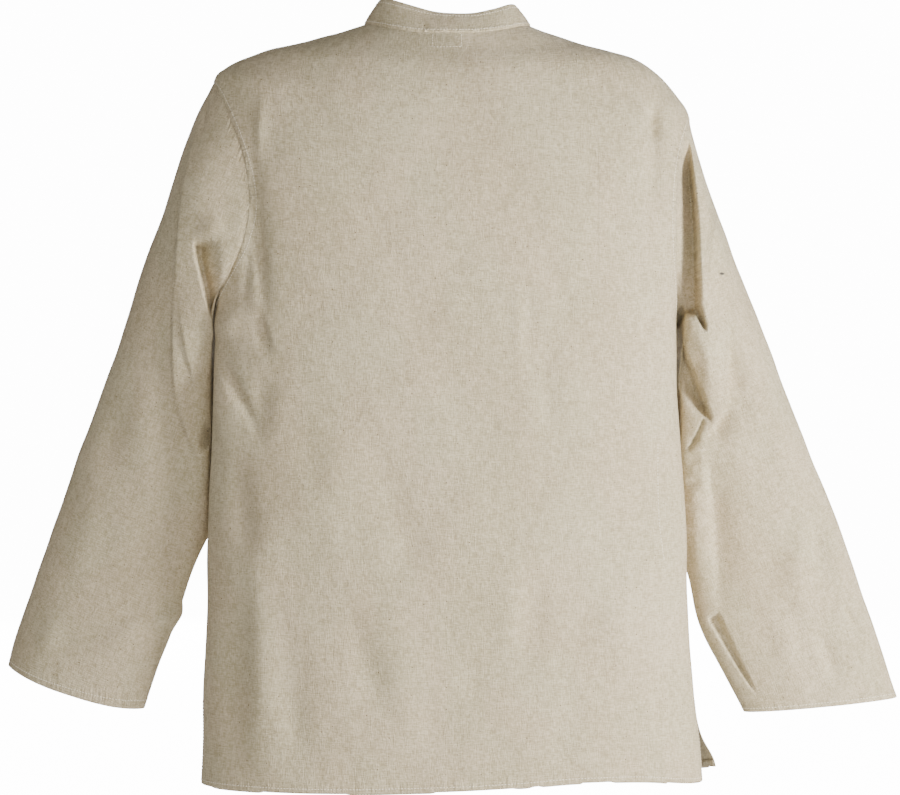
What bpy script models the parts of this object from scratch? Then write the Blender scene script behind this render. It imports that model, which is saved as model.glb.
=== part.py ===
# A tunic shirt with a stand collar, straight sleeves and side slits, hollow as it stands when worn.
# Metres, +Z up. The wearer's front looks along -Y, and the wearer's left arm is on the +X side.
# The origin is where the shirt is carried: level with the shoulders, in the middle of the neck.

import math
from collections import namedtuple

import bmesh
import bpy
import numpy as np

MM = 0.001

# The cloth, and the gap between two pieces where they are sewn together.
WALL = 1.5 * MM
HEM_WALL = 2.4 * MM
COLLAR_WALL = 2.2 * MM
SEAM_GAP = 0.3 * MM

# How finely the pieces are divided.
HEM_ROWS = 1
SKIRT_ROWS = 12
ARMHOLE_ROWS = 12
SHOULDER_ROWS = 7
BACK_COLUMNS = 24
FRONT_HALF_COLUMNS = 10
SLEEVE_ROWS = 24
COLLAR_COLUMNS = 38
COLLAR_ROWS = 2

# The body, ring by ring from the hem up to the neck, in millimetres. left_out and right_out are the
# half widths and left_z and right_z the heights at the two sides; back and front are the depths;
# square is 2 for an oval and more for a boxier ring; back_dip and front_dip are how far the middle
# of the ring lies below its sides.
BodyRing = namedtuple(
    "BodyRing", "left_out left_z right_out right_z back front square back_dip front_dip"
)
BODY_RINGS = (
    BodyRing(245, -738, 254, -737, 88, 94, 2.30, -1, -3),
    BodyRing(243, -655, 247, -655, 89, 95, 2.30, 0, -1),
    BodyRing(240, -565, 241, -565, 90, 96, 2.30, 0, 0),
    BodyRing(238, -470, 237, -470, 92, 98, 2.35, 0, 0),
    BodyRing(233, -370, 231, -375, 94, 101, 2.40, 0, 1),
    BodyRing(231, -265, 229, -285, 96, 104, 2.45, 0, 4),
    BodyRing(232, -205, 234, -230, 97, 105, 2.45, 2, 12),
    BodyRing(235, -145, 241, -175, 96, 103, 2.40, 5, 26),
    BodyRing(237, -90, 245, -125, 93, 99, 2.25, 10, 42),
    BodyRing(233, -43, 243, -80, 87, 92, 2.10, 17, 58),
    BodyRing(222, -29, 231, -57, 83, 89, 2.00, 18, 63),
    BodyRing(204, -19, 211, -34, 79, 85, 1.95, 20, 66),
    BodyRing(180, -11, 187, -20, 75, 81, 1.95, 20, 68),
    BodyRing(154, -5, 160, -12, 70, 76, 1.95, 18, 69),
    BodyRing(128, 1, 132, -5, 65, 71, 1.95, 17, 69),
    BodyRing(103, 8, 105, 5, 59, 66, 2.00, 16, 69),
    BodyRing(82, 15, 83, 14, 54, 60, 2.00, 16, 70),
)
HEM, UNDERARM, SHOULDER_TIP, NECK = 0, 5, 9, 16
HEM_TURN = 12 * MM

# Each armhole seam is half an oval: it leaves the side at the underarm, runs inwards over the panel
# and comes back to the side at the shoulder tip. deepest is its largest angle round the ring from
# the side, in degrees; lean under 1 puts that place nearer the underarm.
Armhole = namedtuple("Armhole", "deepest lean")
ARMHOLES = {
    ("left", "back"): Armhole(39, 0.85),
    ("left", "front"): Armhole(42, 0.85),
    ("right", "back"): Armhole(27, 1.20),
    ("right", "front"): Armhole(42, 0.85),
}

# The sleeves, ring by ring from the armhole to the wrist, in millimetres. out_x, out_z is the outer
# edge and in_x, in_z the underarm edge of the flattened tube; depth is its thickness front to back,
# middle_y its place between front and back, and drop how far its two faces hang below the line
# between the edges. The first ring is bent onto the armhole's seam, and the bend settles in the
# rings after it.
SleeveRing = namedtuple("SleeveRing", "out_x out_z in_x in_z depth middle_y square drop")
SLEEVE_RINGS = {
    "left": (
        SleeveRing(233, -43, 231, -265, 150, -4, 2.1, 0),
        SleeveRing(257, -90, 234, -279, 138, -8, 2.1, 0),
        SleeveRing(279, -149, 232, -306, 120, -18, 2.1, 0),
        SleeveRing(307, -227, 230, -346, 98, -27, 2.0, 0),
        SleeveRing(332, -298, 229, -392, 82, -32, 2.0, 2),
        SleeveRing(357, -363, 230, -438, 70, -35, 2.0, 3),
        SleeveRing(382, -431, 236, -485, 62, -37, 2.0, 4),
        SleeveRing(404, -493, 255, -528, 57, -38, 2.0, 5),
        SleeveRing(423, -549, 268, -567, 54, -38, 2.0, 6),
        SleeveRing(438, -593, 283, -608, 52, -38, 2.0, 8),
        SleeveRing(449, -631, 306, -672, 50, -38, 2.0, 7),
    ),
    "right": (
        SleeveRing(243, -80, 229, -285, 132, -15, 2.1, 0),
        SleeveRing(253, -119, 233, -299, 126, -15, 2.1, 0),
        SleeveRing(273, -174, 231, -332, 114, -19, 2.1, 0),
        SleeveRing(300, -240, 228, -370, 96, -27, 2.0, 0),
        SleeveRing(325, -303, 228, -413, 80, -32, 2.0, 0),
        SleeveRing(350, -367, 229, -458, 68, -35, 2.0, 0),
        SleeveRing(375, -428, 233, -501, 60, -37, 2.0, 0),
        SleeveRing(398, -487, 246, -542, 55, -38, 2.0, 0),
        SleeveRing(418, -543, 256, -586, 52, -38, 2.0, 0),
        SleeveRing(437, -599, 276, -625, 50, -38, 2.0, 0),
        SleeveRing(457, -662, 302, -677, 48, -38, 2.0, 0),
    ),
}

# The largest folds, each a soft ridge (height over 0) or trough (under 0) along a bowed line, in
# millimetres, on one face of the shirt. near and far are its widths on the two sides of the line,
# and peak is where along the line it is strongest, from 0 to 1.
Fold = namedtuple("Fold", "face x0 z0 x1 z1 bow near far height peak")
BODY_FOLDS = (
    Fold("back", 184, -95, 171, -275, -6, 12, 16, -7, 0.60),
    Fold("back", 219, -300, 192, -372, 0, 10, 20, 8, 0.25),
    Fold("back", 178, -270, 163, -318, 0, 12, 14, -5, 0.40),
    Fold("back", -205, -60, -212, -150, 4, 14, 14, -7, 0.50),
    Fold("back", -218, -300, -190, -350, 0, 14, 14, -4, 0.30),
    Fold("back", 196, -520, 205, -700, 0, 26, 26, -5, 0.50),
    Fold("front", 190, -130, 176, -300, 6, 14, 16, -8, 0.60),
    Fold("front", -190, -150, -178, -310, -6, 14, 16, -8, 0.60),
    Fold("front", 120, -360, 150, -720, 10, 34, 34, -6, 0.70),
    Fold("front", -110, -380, -160, -720, -10, 34, 34, -6, 0.70),
)
SLEEVE_FOLDS = {
    "left": (
        Fold("back", 240, -62, 258, -330, 8, 16, 14, -10, 0.45),
        Fold("back", 264, -240, 262, -420, 8, 18, 22, 8, 0.60),
        Fold("back", 268, -565, 350, -612, 6, 14, 18, -6, 0.15),
        Fold("front", 246, -110, 262, -320, 8, 16, 16, -10, 0.45),
        Fold("front", 262, -420, 330, -480, 0, 16, 18, -6, 0.30),
    ),
    "right": (
        Fold("back", -252, -105, -254, -290, 0, 18, 15, -8, 0.50),
        Fold("back", -272, -170, -276, -300, 0, 16, 18, 4, 0.50),
        Fold("back", -244, -310, -270, -384, -6, 14, 18, 7, 0.55),
        Fold("back", -266, -390, -250, -520, -6, 16, 14, -7, 0.20),
        Fold("front", -246, -120, -262, -320, -8, 16, 16, -10, 0.45),
        Fold("front", -262, -430, -330, -490, 0, 16, 18, -6, 0.30),
    ),
}
SLEEVE_SETTLE = 2.6
SLEEVE_SETTLE_CURVE = 1.5
SLEEVE_FOLDS_START = 0.8
SLEEVE_PRESS_START = 0.7
SLEEVE_CLEAR = 2.0 * MM
SLEEVE_PRESS = 3.0 * MM
DROP_CURVE = 3
FACE_SIGN = {"back": 1, "front": -1}
SIDE_SIGN = {"left": 1, "right": -1}
FACE_FADE = 0.35

# The back hem's lift at places across it, in millimetres; the side slits; and the front panel's
# right corner, which curls out past the back one.
HEM_LIFT_X = (240, 150, 20, -60, -150, -220, -254)
HEM_LIFT = (-3, -3, -1, 3, 8, 5, -2)
HEM_LIFT_FADE = 90 * MM
SLIT_HEIGHT = 82 * MM
SLIT_SPREAD = 3.0 * MM
SLIT_SPREAD_WIDTH = 0.25
CURL_OUT, CURL_BACK, CURL_UP = 14 * MM, 8 * MM, 11 * MM
CURL_WIDTH, CURL_HEIGHT = 34 * MM, 33 * MM
CURL_REACH = 0.6

# The stand collar: how far it rises and leans in at angles from the middle of the back (0) round to
# its front ends (180), in degrees and millimetres.
CollarPoint = namedtuple("CollarPoint", "turn left_rise right_rise lean")
COLLAR_POINTS = (
    CollarPoint(0, 20, 20, 15),
    CollarPoint(30, 24, 19, 13),
    CollarPoint(60, 26, 21, 11),
    CollarPoint(90, 21, 19, 14),
    CollarPoint(135, 25, 25, 9),
    CollarPoint(180, 26, 26, 7),
)
COLLAR_END_GAP = 1.5 * MM
COLLAR_CORNER = 11 * MM
COLLAR_CORNER_CUT = 0.8
COLLAR_CORNER_STEPS = (2.5 * MM, 5.5 * MM)
COLLAR_LEAN_CURVE = 1.3

# The front opening: a slot in the front panel, covered by one band outside and one inside.
PLACKET_X = (14 * MM, 11 * MM, 0.0, -11 * MM, -14 * MM)
PLACKET_BELOW_NECK = 0.5 * MM

CLOTH_COLOUR = (0.50, 0.45, 0.36, 1.0)
BAND_COLOUR = (0.48, 0.43, 0.34, 1.0)
CLOTH_ROUGHNESS = 0.9

STEP = 1e-3


def catmull(before, start, end, after, share):
    """A smooth curve from start to end that keeps the run of its neighbours."""
    return 0.5 * (
        2 * start
        + (end - before) * share
        + (2 * before - 5 * start + 4 * end - after) * share**2
        + (3 * start - before - 3 * end + after) * share**3
    )


def along(table, position):
    """The row of a table at a fractional place between its rows."""
    rows = np.array(table, float)
    position = np.clip(np.asarray(position, float), 0, len(rows) - 1)
    first = np.minimum(position.astype(int), len(rows) - 2)
    share = (position - first)[..., None]
    before, after = np.maximum(first - 1, 0), np.minimum(first + 2, len(rows) - 1)
    return catmull(rows[before], rows[first], rows[first + 1], rows[after], share)


def smoothstep(low, high, value):
    """0 below low, 1 above high, and a soft ramp between."""
    share = np.clip((value - low) / (high - low), 0, 1)
    return share * share * (3 - 2 * share)


def unit(vectors):
    """The same vectors, 1 long."""
    return vectors / np.maximum(np.linalg.norm(vectors, axis=-1, keepdims=True), 1e-12)


def normals(surface, angle, ring):
    """The outward normal of a surface that is given as a function of an angle and a ring."""
    round_it = surface(angle + STEP, ring) - surface(angle - STEP, ring)
    up_it = surface(angle, ring + STEP) - surface(angle, ring - STEP)
    return unit(np.cross(round_it, up_it))


def tube_normals(points):
    """The normals of a tube's grid of points, whose last column repeats its first."""
    ring = points[:, :-1]
    round_it = np.roll(ring, -1, axis=1) - np.roll(ring, 1, axis=1)
    up_it = np.gradient(ring, axis=0)
    across = unit(np.cross(round_it, up_it))
    return np.concatenate([across, across[:, :1]], axis=1)


def fold_height(folds, points, facing):
    """How far the folds lift each point off the plain surface, in metres."""
    x, z = points[..., 0] / MM, points[..., 2] / MM
    lift = np.zeros(x.shape)
    for fold in folds:
        run = np.array([fold.x1 - fold.x0, fold.z1 - fold.z0], float)
        length = np.linalg.norm(run)
        run /= length
        share = ((x - fold.x0) * run[0] + (z - fold.z0) * run[1]) / length
        inside = np.clip(share, 0, 1)
        aside = (z - fold.z0) * run[0] - (x - fold.x0) * run[1]
        aside = aside - fold.bow * 4 * inside * (1 - inside)
        width = np.where(aside < 0, fold.near, fold.far)
        ends = smoothstep(0, 1, inside / fold.peak) * smoothstep(0, 1, (1 - inside) / (1 - fold.peak))
        seen = smoothstep(0, FACE_FADE, facing * FACE_SIGN[fold.face])
        lift += fold.height * np.exp(-((aside / width) ** 2)) * ends * seen
    return lift * MM


def body_plain(angle, ring):
    """A point on the body's outside before its folds. angle is 0 at the left side, a quarter turn at
    the middle of the back, a half turn at the right side."""
    row = np.moveaxis(along(BODY_RINGS, ring), -1, 0)
    left_out, left_z, right_out, right_z, back, front, square, back_dip, front_dip = row
    across, deep = np.cos(angle), np.sin(angle)
    swell = (np.abs(across) ** square + np.abs(deep) ** square) ** (-1 / square)
    tilt = (1 + across * swell) / 2
    x = across * swell * np.where(across > 0, left_out, right_out)
    y = deep * swell * np.where(deep > 0, back, front)
    z = left_z * tilt + right_z * (1 - tilt) - np.where(deep > 0, back_dip, front_dip) * deep**2
    return np.stack([x, y, z], -1) * MM


def body(angle, ring):
    """A point on the body's outside, folds and all."""
    points = body_plain(angle, ring)
    out = normals(body_plain, angle, ring)
    return points + out * fold_height(BODY_FOLDS, points, out[..., 1])[..., None]


def angle_at(x, ring, face):
    """The angle at which the body's ring is x from the middle, on its back or its front."""
    row = along(BODY_RINGS, ring)
    half_width = np.where(x > 0, row[..., 0], row[..., 2]) * MM
    square = row[..., 6]
    share = np.clip(np.abs(x) / half_width, 1e-6, 1)
    turn = np.arctan((share**-square - 1) ** (1 / square))
    turn = np.where(x > 0, turn, math.pi - turn)
    return turn if face == "back" else -turn


def seam_angle(side, face, ring):
    """The angle at which a panel ends: the side seam, the armhole or the shoulder seam."""
    armhole = ARMHOLES[side, face]
    share = np.clip((np.asarray(ring, float) - UNDERARM) / (SHOULDER_TIP - UNDERARM), 0, 1)
    share = share**armhole.lean
    turn = math.radians(armhole.deepest) * np.sqrt(4 * share * (1 - share))
    turn = turn if side == "left" else math.pi - turn
    return turn if face == "back" else -turn


def panel_rings():
    """The rings that the rows of the body's panels lie on, from the hem to the neck."""
    skirt = BODY_RINGS[UNDERARM].left_z - BODY_RINGS[HEM].left_z
    turn_ring = HEM_TURN / MM / (BODY_RINGS[1].left_z - BODY_RINGS[HEM].left_z)
    heights = np.array([ring.left_z for ring in BODY_RINGS[: UNDERARM + 1]], float)
    even = heights[0] + skirt * np.arange(1, SKIRT_ROWS + 1) / SKIRT_ROWS
    low = np.interp(even, heights, np.arange(UNDERARM + 1))
    turn = math.pi * np.arange(1, ARMHOLE_ROWS + 1) / ARMHOLE_ROWS
    middle = UNDERARM + (SHOULDER_TIP - UNDERARM) * (1 - np.cos(turn)) / 2
    high = np.linspace(SHOULDER_TIP, NECK, SHOULDER_ROWS + 1)[1:]
    return np.concatenate([[HEM, turn_ring], low, middle, high])


def open_slits(points, angle, face):
    """The panel's edges below the slits, spread apart, and the front's curled corner."""
    hem = BODY_RINGS[HEM].left_z * MM
    low = 1 - smoothstep(hem, hem + SLIT_HEIGHT, points[..., 2])
    at_side = np.exp(-((np.sin(angle) / SLIT_SPREAD_WIDTH) ** 2))
    points = points.copy()
    points[..., 1] += FACE_SIGN[face] * SLIT_SPREAD * low * at_side
    if face == "back":
        lift = np.interp(-points[..., 0] / MM, -np.array(HEM_LIFT_X), HEM_LIFT) * MM
        points[..., 2] += lift * np.exp(-(((points[..., 2] - hem) / HEM_LIFT_FADE) ** 2))
    if face == "front":
        from_corner = (points[..., 0] + BODY_RINGS[HEM].right_out * MM) / CURL_WIDTH
        above = (points[..., 2] - hem) / CURL_HEIGHT
        curl = np.exp(-(from_corner**2)) * np.exp(-(above**2))
        curl = curl * smoothstep(-CURL_REACH, 0, points[..., 1] / (BODY_RINGS[HEM].front * MM))
        points += curl[..., None] * np.array([-CURL_OUT, CURL_BACK, CURL_UP])
    return points


def part_the_seams(points):
    """Draws the panel's two side edges back from the seams by half a gap."""
    first = unit(points[:, 1] - points[:, 0])
    last = unit(points[:, -2] - points[:, -1])
    points[:, 0] += first * SEAM_GAP / 2
    points[:, -1] += last * SEAM_GAP / 2
    return points


def back_columns(rings):
    """The angles of the back panel's columns in each row."""
    left, right = seam_angle("left", "back", rings), seam_angle("right", "back", rings)
    share = np.linspace(0, 1, BACK_COLUMNS + 1)
    return left[:, None] + (right - left)[:, None] * share


def front_columns(rings):
    """The angles of the front panel's columns in each row, with five across the placket."""
    left, right = seam_angle("left", "front", rings), seam_angle("right", "front", rings)
    across = np.array(PLACKET_X)[None, :] * np.ones(rings.shape)[:, None]
    band = angle_at(across, rings[:, None] * np.ones(across.shape), "front")
    half = np.linspace(0, 1, FRONT_HALF_COLUMNS + 1)
    return np.concatenate(
        [
            left[:, None] + (band[:, 0] - left)[:, None] * half,
            band[:, 1:-1],
            band[:, -1:] + (right - band[:, -1])[:, None] * half,
        ],
        axis=1,
    )


def cloth_node(name, outer, inner, material, tube=False, slot=None):
    """Makes a cloth wall: a grid laid on the outer points, drawn out to the inner ones and closed
    round its rim. slot names the first row and the two columns of faces that are cut out."""
    rows, columns = outer.shape[:2]
    mesh = bmesh.new()
    number = mesh.verts.layers.int.new("number")
    bmesh.ops.create_grid(mesh, x_segments=columns - 1, y_segments=rows - 1, size=1)
    place = {}
    for vert in mesh.verts:
        column = round((vert.co.x + 1) / 2 * (columns - 1))
        row = round((vert.co.y + 1) / 2 * (rows - 1))
        place[vert] = (row, column)
    if slot:
        first_row, first_column, last_column = slot
        cut = [
            face
            for face in mesh.faces
            if min(place[vert][0] for vert in face.verts) >= first_row
            and min(place[vert][1] for vert in face.verts) >= first_column
            and max(place[vert][1] for vert in face.verts) <= last_column
        ]
        bmesh.ops.delete(mesh, geom=cut, context="FACES")
    for vert in mesh.verts:
        row, column = place[vert]
        vert[number] = row * columns + column
        vert.co = outer[row, column]
    drawn = bmesh.ops.extrude_face_region(mesh, geom=mesh.faces[:])
    flat_inner = inner.reshape(-1, 3)
    for item in drawn["geom"]:
        if isinstance(item, bmesh.types.BMVert):
            item.co = flat_inner[item[number]]
    if tube:
        close_tube(mesh, number, columns)
    bmesh.ops.recalc_face_normals(mesh, faces=mesh.faces[:])
    data = bpy.data.meshes.new(name)
    mesh.to_mesh(data)
    mesh.free()
    data.shade_smooth()
    data.materials.append(material)
    made = bpy.data.objects.new(name, data)
    SHIRT.objects.link(made)
    return made


def close_tube(mesh, number, columns):
    """Joins a wall's first and last columns: their rim faces go, and their points are merged."""
    ends = (0, columns - 1)
    rims = []
    for face in mesh.faces:
        at = {vert[number] % columns for vert in face.verts}
        if len(at) == 1 and at.pop() in ends:
            rims.append(face)
    bmesh.ops.delete(mesh, geom=rims, context="FACES")
    loose = [vert for vert in mesh.verts if vert[number] % columns in ends]
    bmesh.ops.remove_doubles(mesh, verts=loose, dist=SEAM_GAP / 10)


def wall_of(points, out, thickness):
    """The inner points of a wall of that thickness under the outer points."""
    return points - out * np.asarray(thickness)[..., None]


def make_back(material):
    """The back panel, with its hem turned up inside."""
    rings = panel_rings()
    angle = back_columns(rings)
    ring = np.broadcast_to(rings[:, None], angle.shape)
    points = part_the_seams(open_slits(body(angle, ring), angle, "back"))
    thick = np.where(np.arange(len(rings)) <= HEM_ROWS, HEM_WALL, WALL)[:, None]
    out = normals(body, angle, ring)
    cloth_node("back", points, wall_of(points, out, thick * np.ones(angle.shape)), material)


def make_front(material, band_material):
    """The front panel with its slot below the neck, and the bands over and under the slot, which
    are made from the panel's own points."""
    rings = panel_rings()
    angle = front_columns(rings)
    ring = np.broadcast_to(rings[:, None], angle.shape)
    points = part_the_seams(open_slits(body(angle, ring), angle, "front"))
    thick = np.where(np.arange(len(rings)) <= HEM_ROWS, HEM_WALL, WALL)[:, None]
    out = normals(body, angle, ring)
    slot_row = int(np.argmin(np.abs(rings - UNDERARM)))
    first = FRONT_HALF_COLUMNS
    last = first + len(PLACKET_X) - 1
    inner = wall_of(points, out, thick * np.ones(angle.shape))
    cloth_node("front", points, inner, material, slot=(slot_row, first + 1, last - 1))
    band, band_out = points[slot_row - 1 :, first : last + 1], out[slot_row - 1 :, first : last + 1]
    down = unit(band[-2] - band[-1]) * PLACKET_BELOW_NECK
    band = np.concatenate([band[:-1], (band[-1] + down)[None]])
    for name, lift in (("placket_over", SEAM_GAP + WALL), ("placket_under", -WALL - SEAM_GAP)):
        outer = band + band_out * lift
        cloth_node(name, outer, outer - band_out * WALL, band_material)


def armhole(side, angle):
    """A point of the armhole seam, and the body's normal there. angle is 0 at the shoulder tip, a
    quarter turn at the back, a half turn at the underarm."""
    turn = np.mod(angle, 2 * math.pi)
    ring = UNDERARM + (SHOULDER_TIP - UNDERARM) * (1 + np.cos(turn)) / 2
    at_back = turn <= math.pi
    around = np.where(at_back, seam_angle(side, "back", ring), seam_angle(side, "front", ring))
    return body(around, ring), normals(body, around, ring)


def sleeve_oval(side, angle, ring):
    """A point of the sleeve's oval at a place between its rings."""
    row = np.moveaxis(along(SLEEVE_RINGS[side], ring), -1, 0)
    out_x, out_z, in_x, in_z, depth, middle_y, square, drop = row
    across, deep = np.cos(angle), np.sin(angle)
    swell = (np.abs(across) ** square + np.abs(deep) ** square) ** (-1 / square)
    share = (1 + across * swell) / 2
    x = (in_x + (out_x - in_x) * share) * SIDE_SIGN[side]
    y = middle_y + depth / 2 * deep * swell
    z = in_z + (out_z - in_z) * share - drop * (1 - np.abs(across * swell) ** DROP_CURVE)
    return np.stack([x, y, z], -1) * MM


def sleeve_start(side, angle):
    """The sleeve's first ring, clear of the armhole's edge by the seam's gap, and the direction
    across the seam, out of the body's panel."""
    seam, out = armhole(side, angle)
    run = armhole(side, angle + STEP)[0] - armhole(side, angle - STEP)[0]
    across = unit(np.cross(run, out)) * SIDE_SIGN[side]
    return seam + (out + across) * SEAM_GAP, across


def sleeve_plain(side):
    """The sleeve's outside before its folds, as a function of an angle and a ring."""

    def surface(angle, ring):
        bend = sleeve_start(side, angle)[0] - sleeve_oval(side, angle, np.zeros(np.shape(angle)))
        left_of_it = (1 - np.clip(ring / SLEEVE_SETTLE, 0, 1)) ** SLEEVE_SETTLE_CURVE
        return sleeve_oval(side, angle, ring) + bend * left_of_it[..., None]

    return surface


def press_to_body(side, points, ring):
    """Keeps the sleeve's points clear of the body's side, where the sleeve lies flat against it."""
    sign = SIDE_SIGN[side]
    rows = np.array(BODY_RINGS, float)[: UNDERARM + 1]
    place = np.interp(points[..., 2] / MM, rows[:, 1 if sign > 0 else 3], np.arange(len(rows)))
    row = np.moveaxis(along(BODY_RINGS, place), -1, 0)
    half_width, square = row[0 if sign > 0 else 2], row[6]
    deep = np.abs(points[..., 1]) / MM / np.where(points[..., 1] > 0, row[4], row[5])
    body_x = half_width * (1 - np.minimum(deep, 1) ** square) ** (1 / square) * MM
    seam_fade = smoothstep(0, SLEEVE_PRESS_START, ring)
    inside = body_x + SLEEVE_CLEAR * seam_fade - points[..., 0] * sign
    soft = SLEEVE_PRESS * seam_fade
    push = (inside + np.sqrt(inside**2 + soft**2)) / 2 * seam_fade
    pressed = points.copy()
    pressed[..., 0] += push * sign
    return pressed


def sleeve_surface(side):
    """The sleeve's outside, folds and all."""
    plain = sleeve_plain(side)

    def surface(angle, ring):
        points = plain(angle, ring)
        out = normals(plain, angle, ring) * -SIDE_SIGN[side]
        lift = fold_height(SLEEVE_FOLDS[side], points, out[..., 1])
        lift = lift * smoothstep(0, SLEEVE_FOLDS_START, ring)
        return press_to_body(side, points + out * lift[..., None], ring)

    return surface


def sleeve_rings():
    """The rings that the sleeve's rows lie on, with one row for the hem at the wrist."""
    last = len(SLEEVE_RINGS["left"]) - 1
    even = np.linspace(0, last, SLEEVE_ROWS + 1)
    rings = SLEEVE_RINGS["left"]
    last_step = math.dist(rings[-1][:2], rings[-2][:2])
    return np.sort(np.append(even, last - HEM_TURN / MM / last_step))


def make_sleeve(side, material):
    """One sleeve, a tube from the armhole to the wrist."""
    rings = sleeve_rings()
    columns = np.linspace(0, 2 * math.pi, 2 * ARMHOLE_ROWS + 1)
    columns[-1] = 0
    angle, ring = np.meshgrid(columns, rings)
    surface = sleeve_surface(side)
    points = surface(angle, ring)
    out = tube_normals(points) * -SIDE_SIGN[side]
    across = sleeve_start(side, angle[0])[1]
    into_panel = np.minimum(np.sum(-out[0] * across, axis=-1), 0)
    out[0] = unit(out[0] + across * into_panel[:, None])
    thick = np.where(rings >= rings[-2] - STEP, HEM_WALL, WALL)[:, None] * np.ones(angle.shape)
    inner = wall_of(points, out, thick)
    cloth_node("sleeve_" + side, points, inner, material, tube=True)


def collar_surface(angle, up):
    """A point on the collar's outside. angle is as on the body, and up is 0 at the seam, 1 on top."""
    base = body(angle, np.full(np.shape(angle), float(NECK)))
    from_back = np.degrees(np.abs(angle - math.pi / 2))
    points = np.array(COLLAR_POINTS, float)
    place = np.interp(from_back, points[:, 0], np.arange(len(points)))
    row = np.moveaxis(along(COLLAR_POINTS, place), -1, 0)
    rise = np.where(angle < math.pi / 2, row[1], row[2]) * MM
    from_end = (math.pi - np.abs(angle - math.pi / 2)) * BODY_RINGS[NECK].left_out * MM
    corner = np.clip(1 - from_end / COLLAR_CORNER, 0, 1)
    rise = rise * np.sqrt(1 - COLLAR_CORNER_CUT * corner**2)
    inward = -unit(base * np.array([1, 1, 0]))
    lift = np.array([0, 0, 1.0]) * (SEAM_GAP + rise * up)[..., None]
    lean = row[3] * MM * np.maximum(up, 0) ** COLLAR_LEAN_CURVE
    return base + lift + inward * lean[..., None]


def make_collar(material):
    """The stand collar, a band round the neck that is open at the front."""
    half_gap = COLLAR_END_GAP / (BODY_RINGS[NECK].left_out * MM)
    first, last = -math.pi / 2 + half_gap, 3 * math.pi / 2 - half_gap
    steps = np.array(COLLAR_CORNER_STEPS) / (BODY_RINGS[NECK].left_out * MM)
    even = np.linspace(first, last, COLLAR_COLUMNS + 1)
    columns = np.sort(np.concatenate([even, first + steps, last - steps]))
    angle, up = np.meshgrid(columns, np.linspace(0, 1, COLLAR_ROWS + 1))
    points = collar_surface(angle, up)
    out = normals(collar_surface, angle, up)
    inner = wall_of(points, out, np.full(angle.shape, COLLAR_WALL))
    cloth_node("collar", points, inner, material)


def cloth_material(name, colour):
    """A plain woven cotton."""
    material = bpy.data.materials.new(name)
    material.use_nodes = True
    shader = material.node_tree.nodes["Principled BSDF"]
    shader.inputs["Base Color"].default_value = colour
    shader.inputs["Roughness"].default_value = CLOTH_ROUGHNESS
    shader.inputs["Metallic"].default_value = 0.0
    return material


def main():
    cloth = cloth_material("natural_cotton", CLOTH_COLOUR)
    band = cloth_material("doubled_cotton", BAND_COLOUR)
    make_back(cloth)
    make_front(cloth, band)
    for side in SIDE_SIGN:
        make_sleeve(side, cloth)
    make_collar(band)


for left_over in list(bpy.data.objects):
    bpy.data.objects.remove(left_over)
SHIRT = bpy.data.collections.new("tunic_shirt")
bpy.context.scene.collection.children.link(SHIRT)
main()
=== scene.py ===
# A tunic shirt in natural cotton, filled out as it is worn, with no wearer, seen from behind.
# Metres, +Z up; the wearer's front looks along -Y and the wearer's left arm is on the +X side.

import math
from collections import namedtuple

import bmesh
import bpy
import numpy as np
from mathutils import Matrix, Vector


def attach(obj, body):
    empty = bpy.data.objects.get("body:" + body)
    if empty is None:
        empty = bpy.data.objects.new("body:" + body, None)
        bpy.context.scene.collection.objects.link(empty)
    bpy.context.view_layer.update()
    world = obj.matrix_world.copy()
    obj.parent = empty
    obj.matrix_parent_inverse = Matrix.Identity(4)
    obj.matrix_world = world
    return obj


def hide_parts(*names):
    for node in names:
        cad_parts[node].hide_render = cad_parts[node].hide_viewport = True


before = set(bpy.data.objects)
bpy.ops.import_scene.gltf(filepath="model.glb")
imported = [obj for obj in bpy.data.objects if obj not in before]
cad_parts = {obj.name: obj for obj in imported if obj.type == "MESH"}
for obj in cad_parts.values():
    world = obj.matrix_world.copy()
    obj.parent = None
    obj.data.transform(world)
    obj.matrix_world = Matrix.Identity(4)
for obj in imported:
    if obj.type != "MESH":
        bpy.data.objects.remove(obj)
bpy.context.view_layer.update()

# The camera
# It stands level behind the shirt, square to the middle of its back, as far off as the photo's
# gentle perspective asks.
CAMERA_PLACE = (-0.003, 2.2, -0.3575)
CAMERA_LENS = 88

camera_data = bpy.data.cameras.new("camera")
camera_data.lens = CAMERA_LENS
camera_data.sensor_width = 36
camera = bpy.data.objects.new("camera", camera_data)
camera.location = CAMERA_PLACE
camera.rotation_euler = (math.radians(90), 0, math.radians(180))
bpy.context.scene.collection.objects.link(camera)
bpy.context.scene.camera = camera


# The cloth
# Unbleached cotton in a plain weave, with uneven threads both ways, small dark specks of seed, soft
# puckers along its seams and faint lines of painted shade where it was pressed into creases. Its grain map
# is in metres.
MM = 0.001
THREAD_PAIR = 1.1 * MM
THREADS = (
    # across, along: how often it changes each way, to the metre; then its share of the tone
    (900, 170, 0.80),
    (170, 900, 0.80),
    (420, 40, 0.20),
    (40, 420, 0.26),
    (120, 100, 0.42),
    (11, 8, 0.26),
)
SPECK_SPACING = 11 * MM
SPECK_SIZE = 0.75 * MM
PUCKER_LENGTH = 4.2 * MM
# how high the weave, the uneven threads, the puckers and the soft creases stand
WEAVE_RELIEF, THREAD_RELIEF, PUCKER_RELIEF, CREASE_RELIEF = 0.06 * MM, 0.7 * MM, 2.2 * MM, 1.1 * MM
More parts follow.
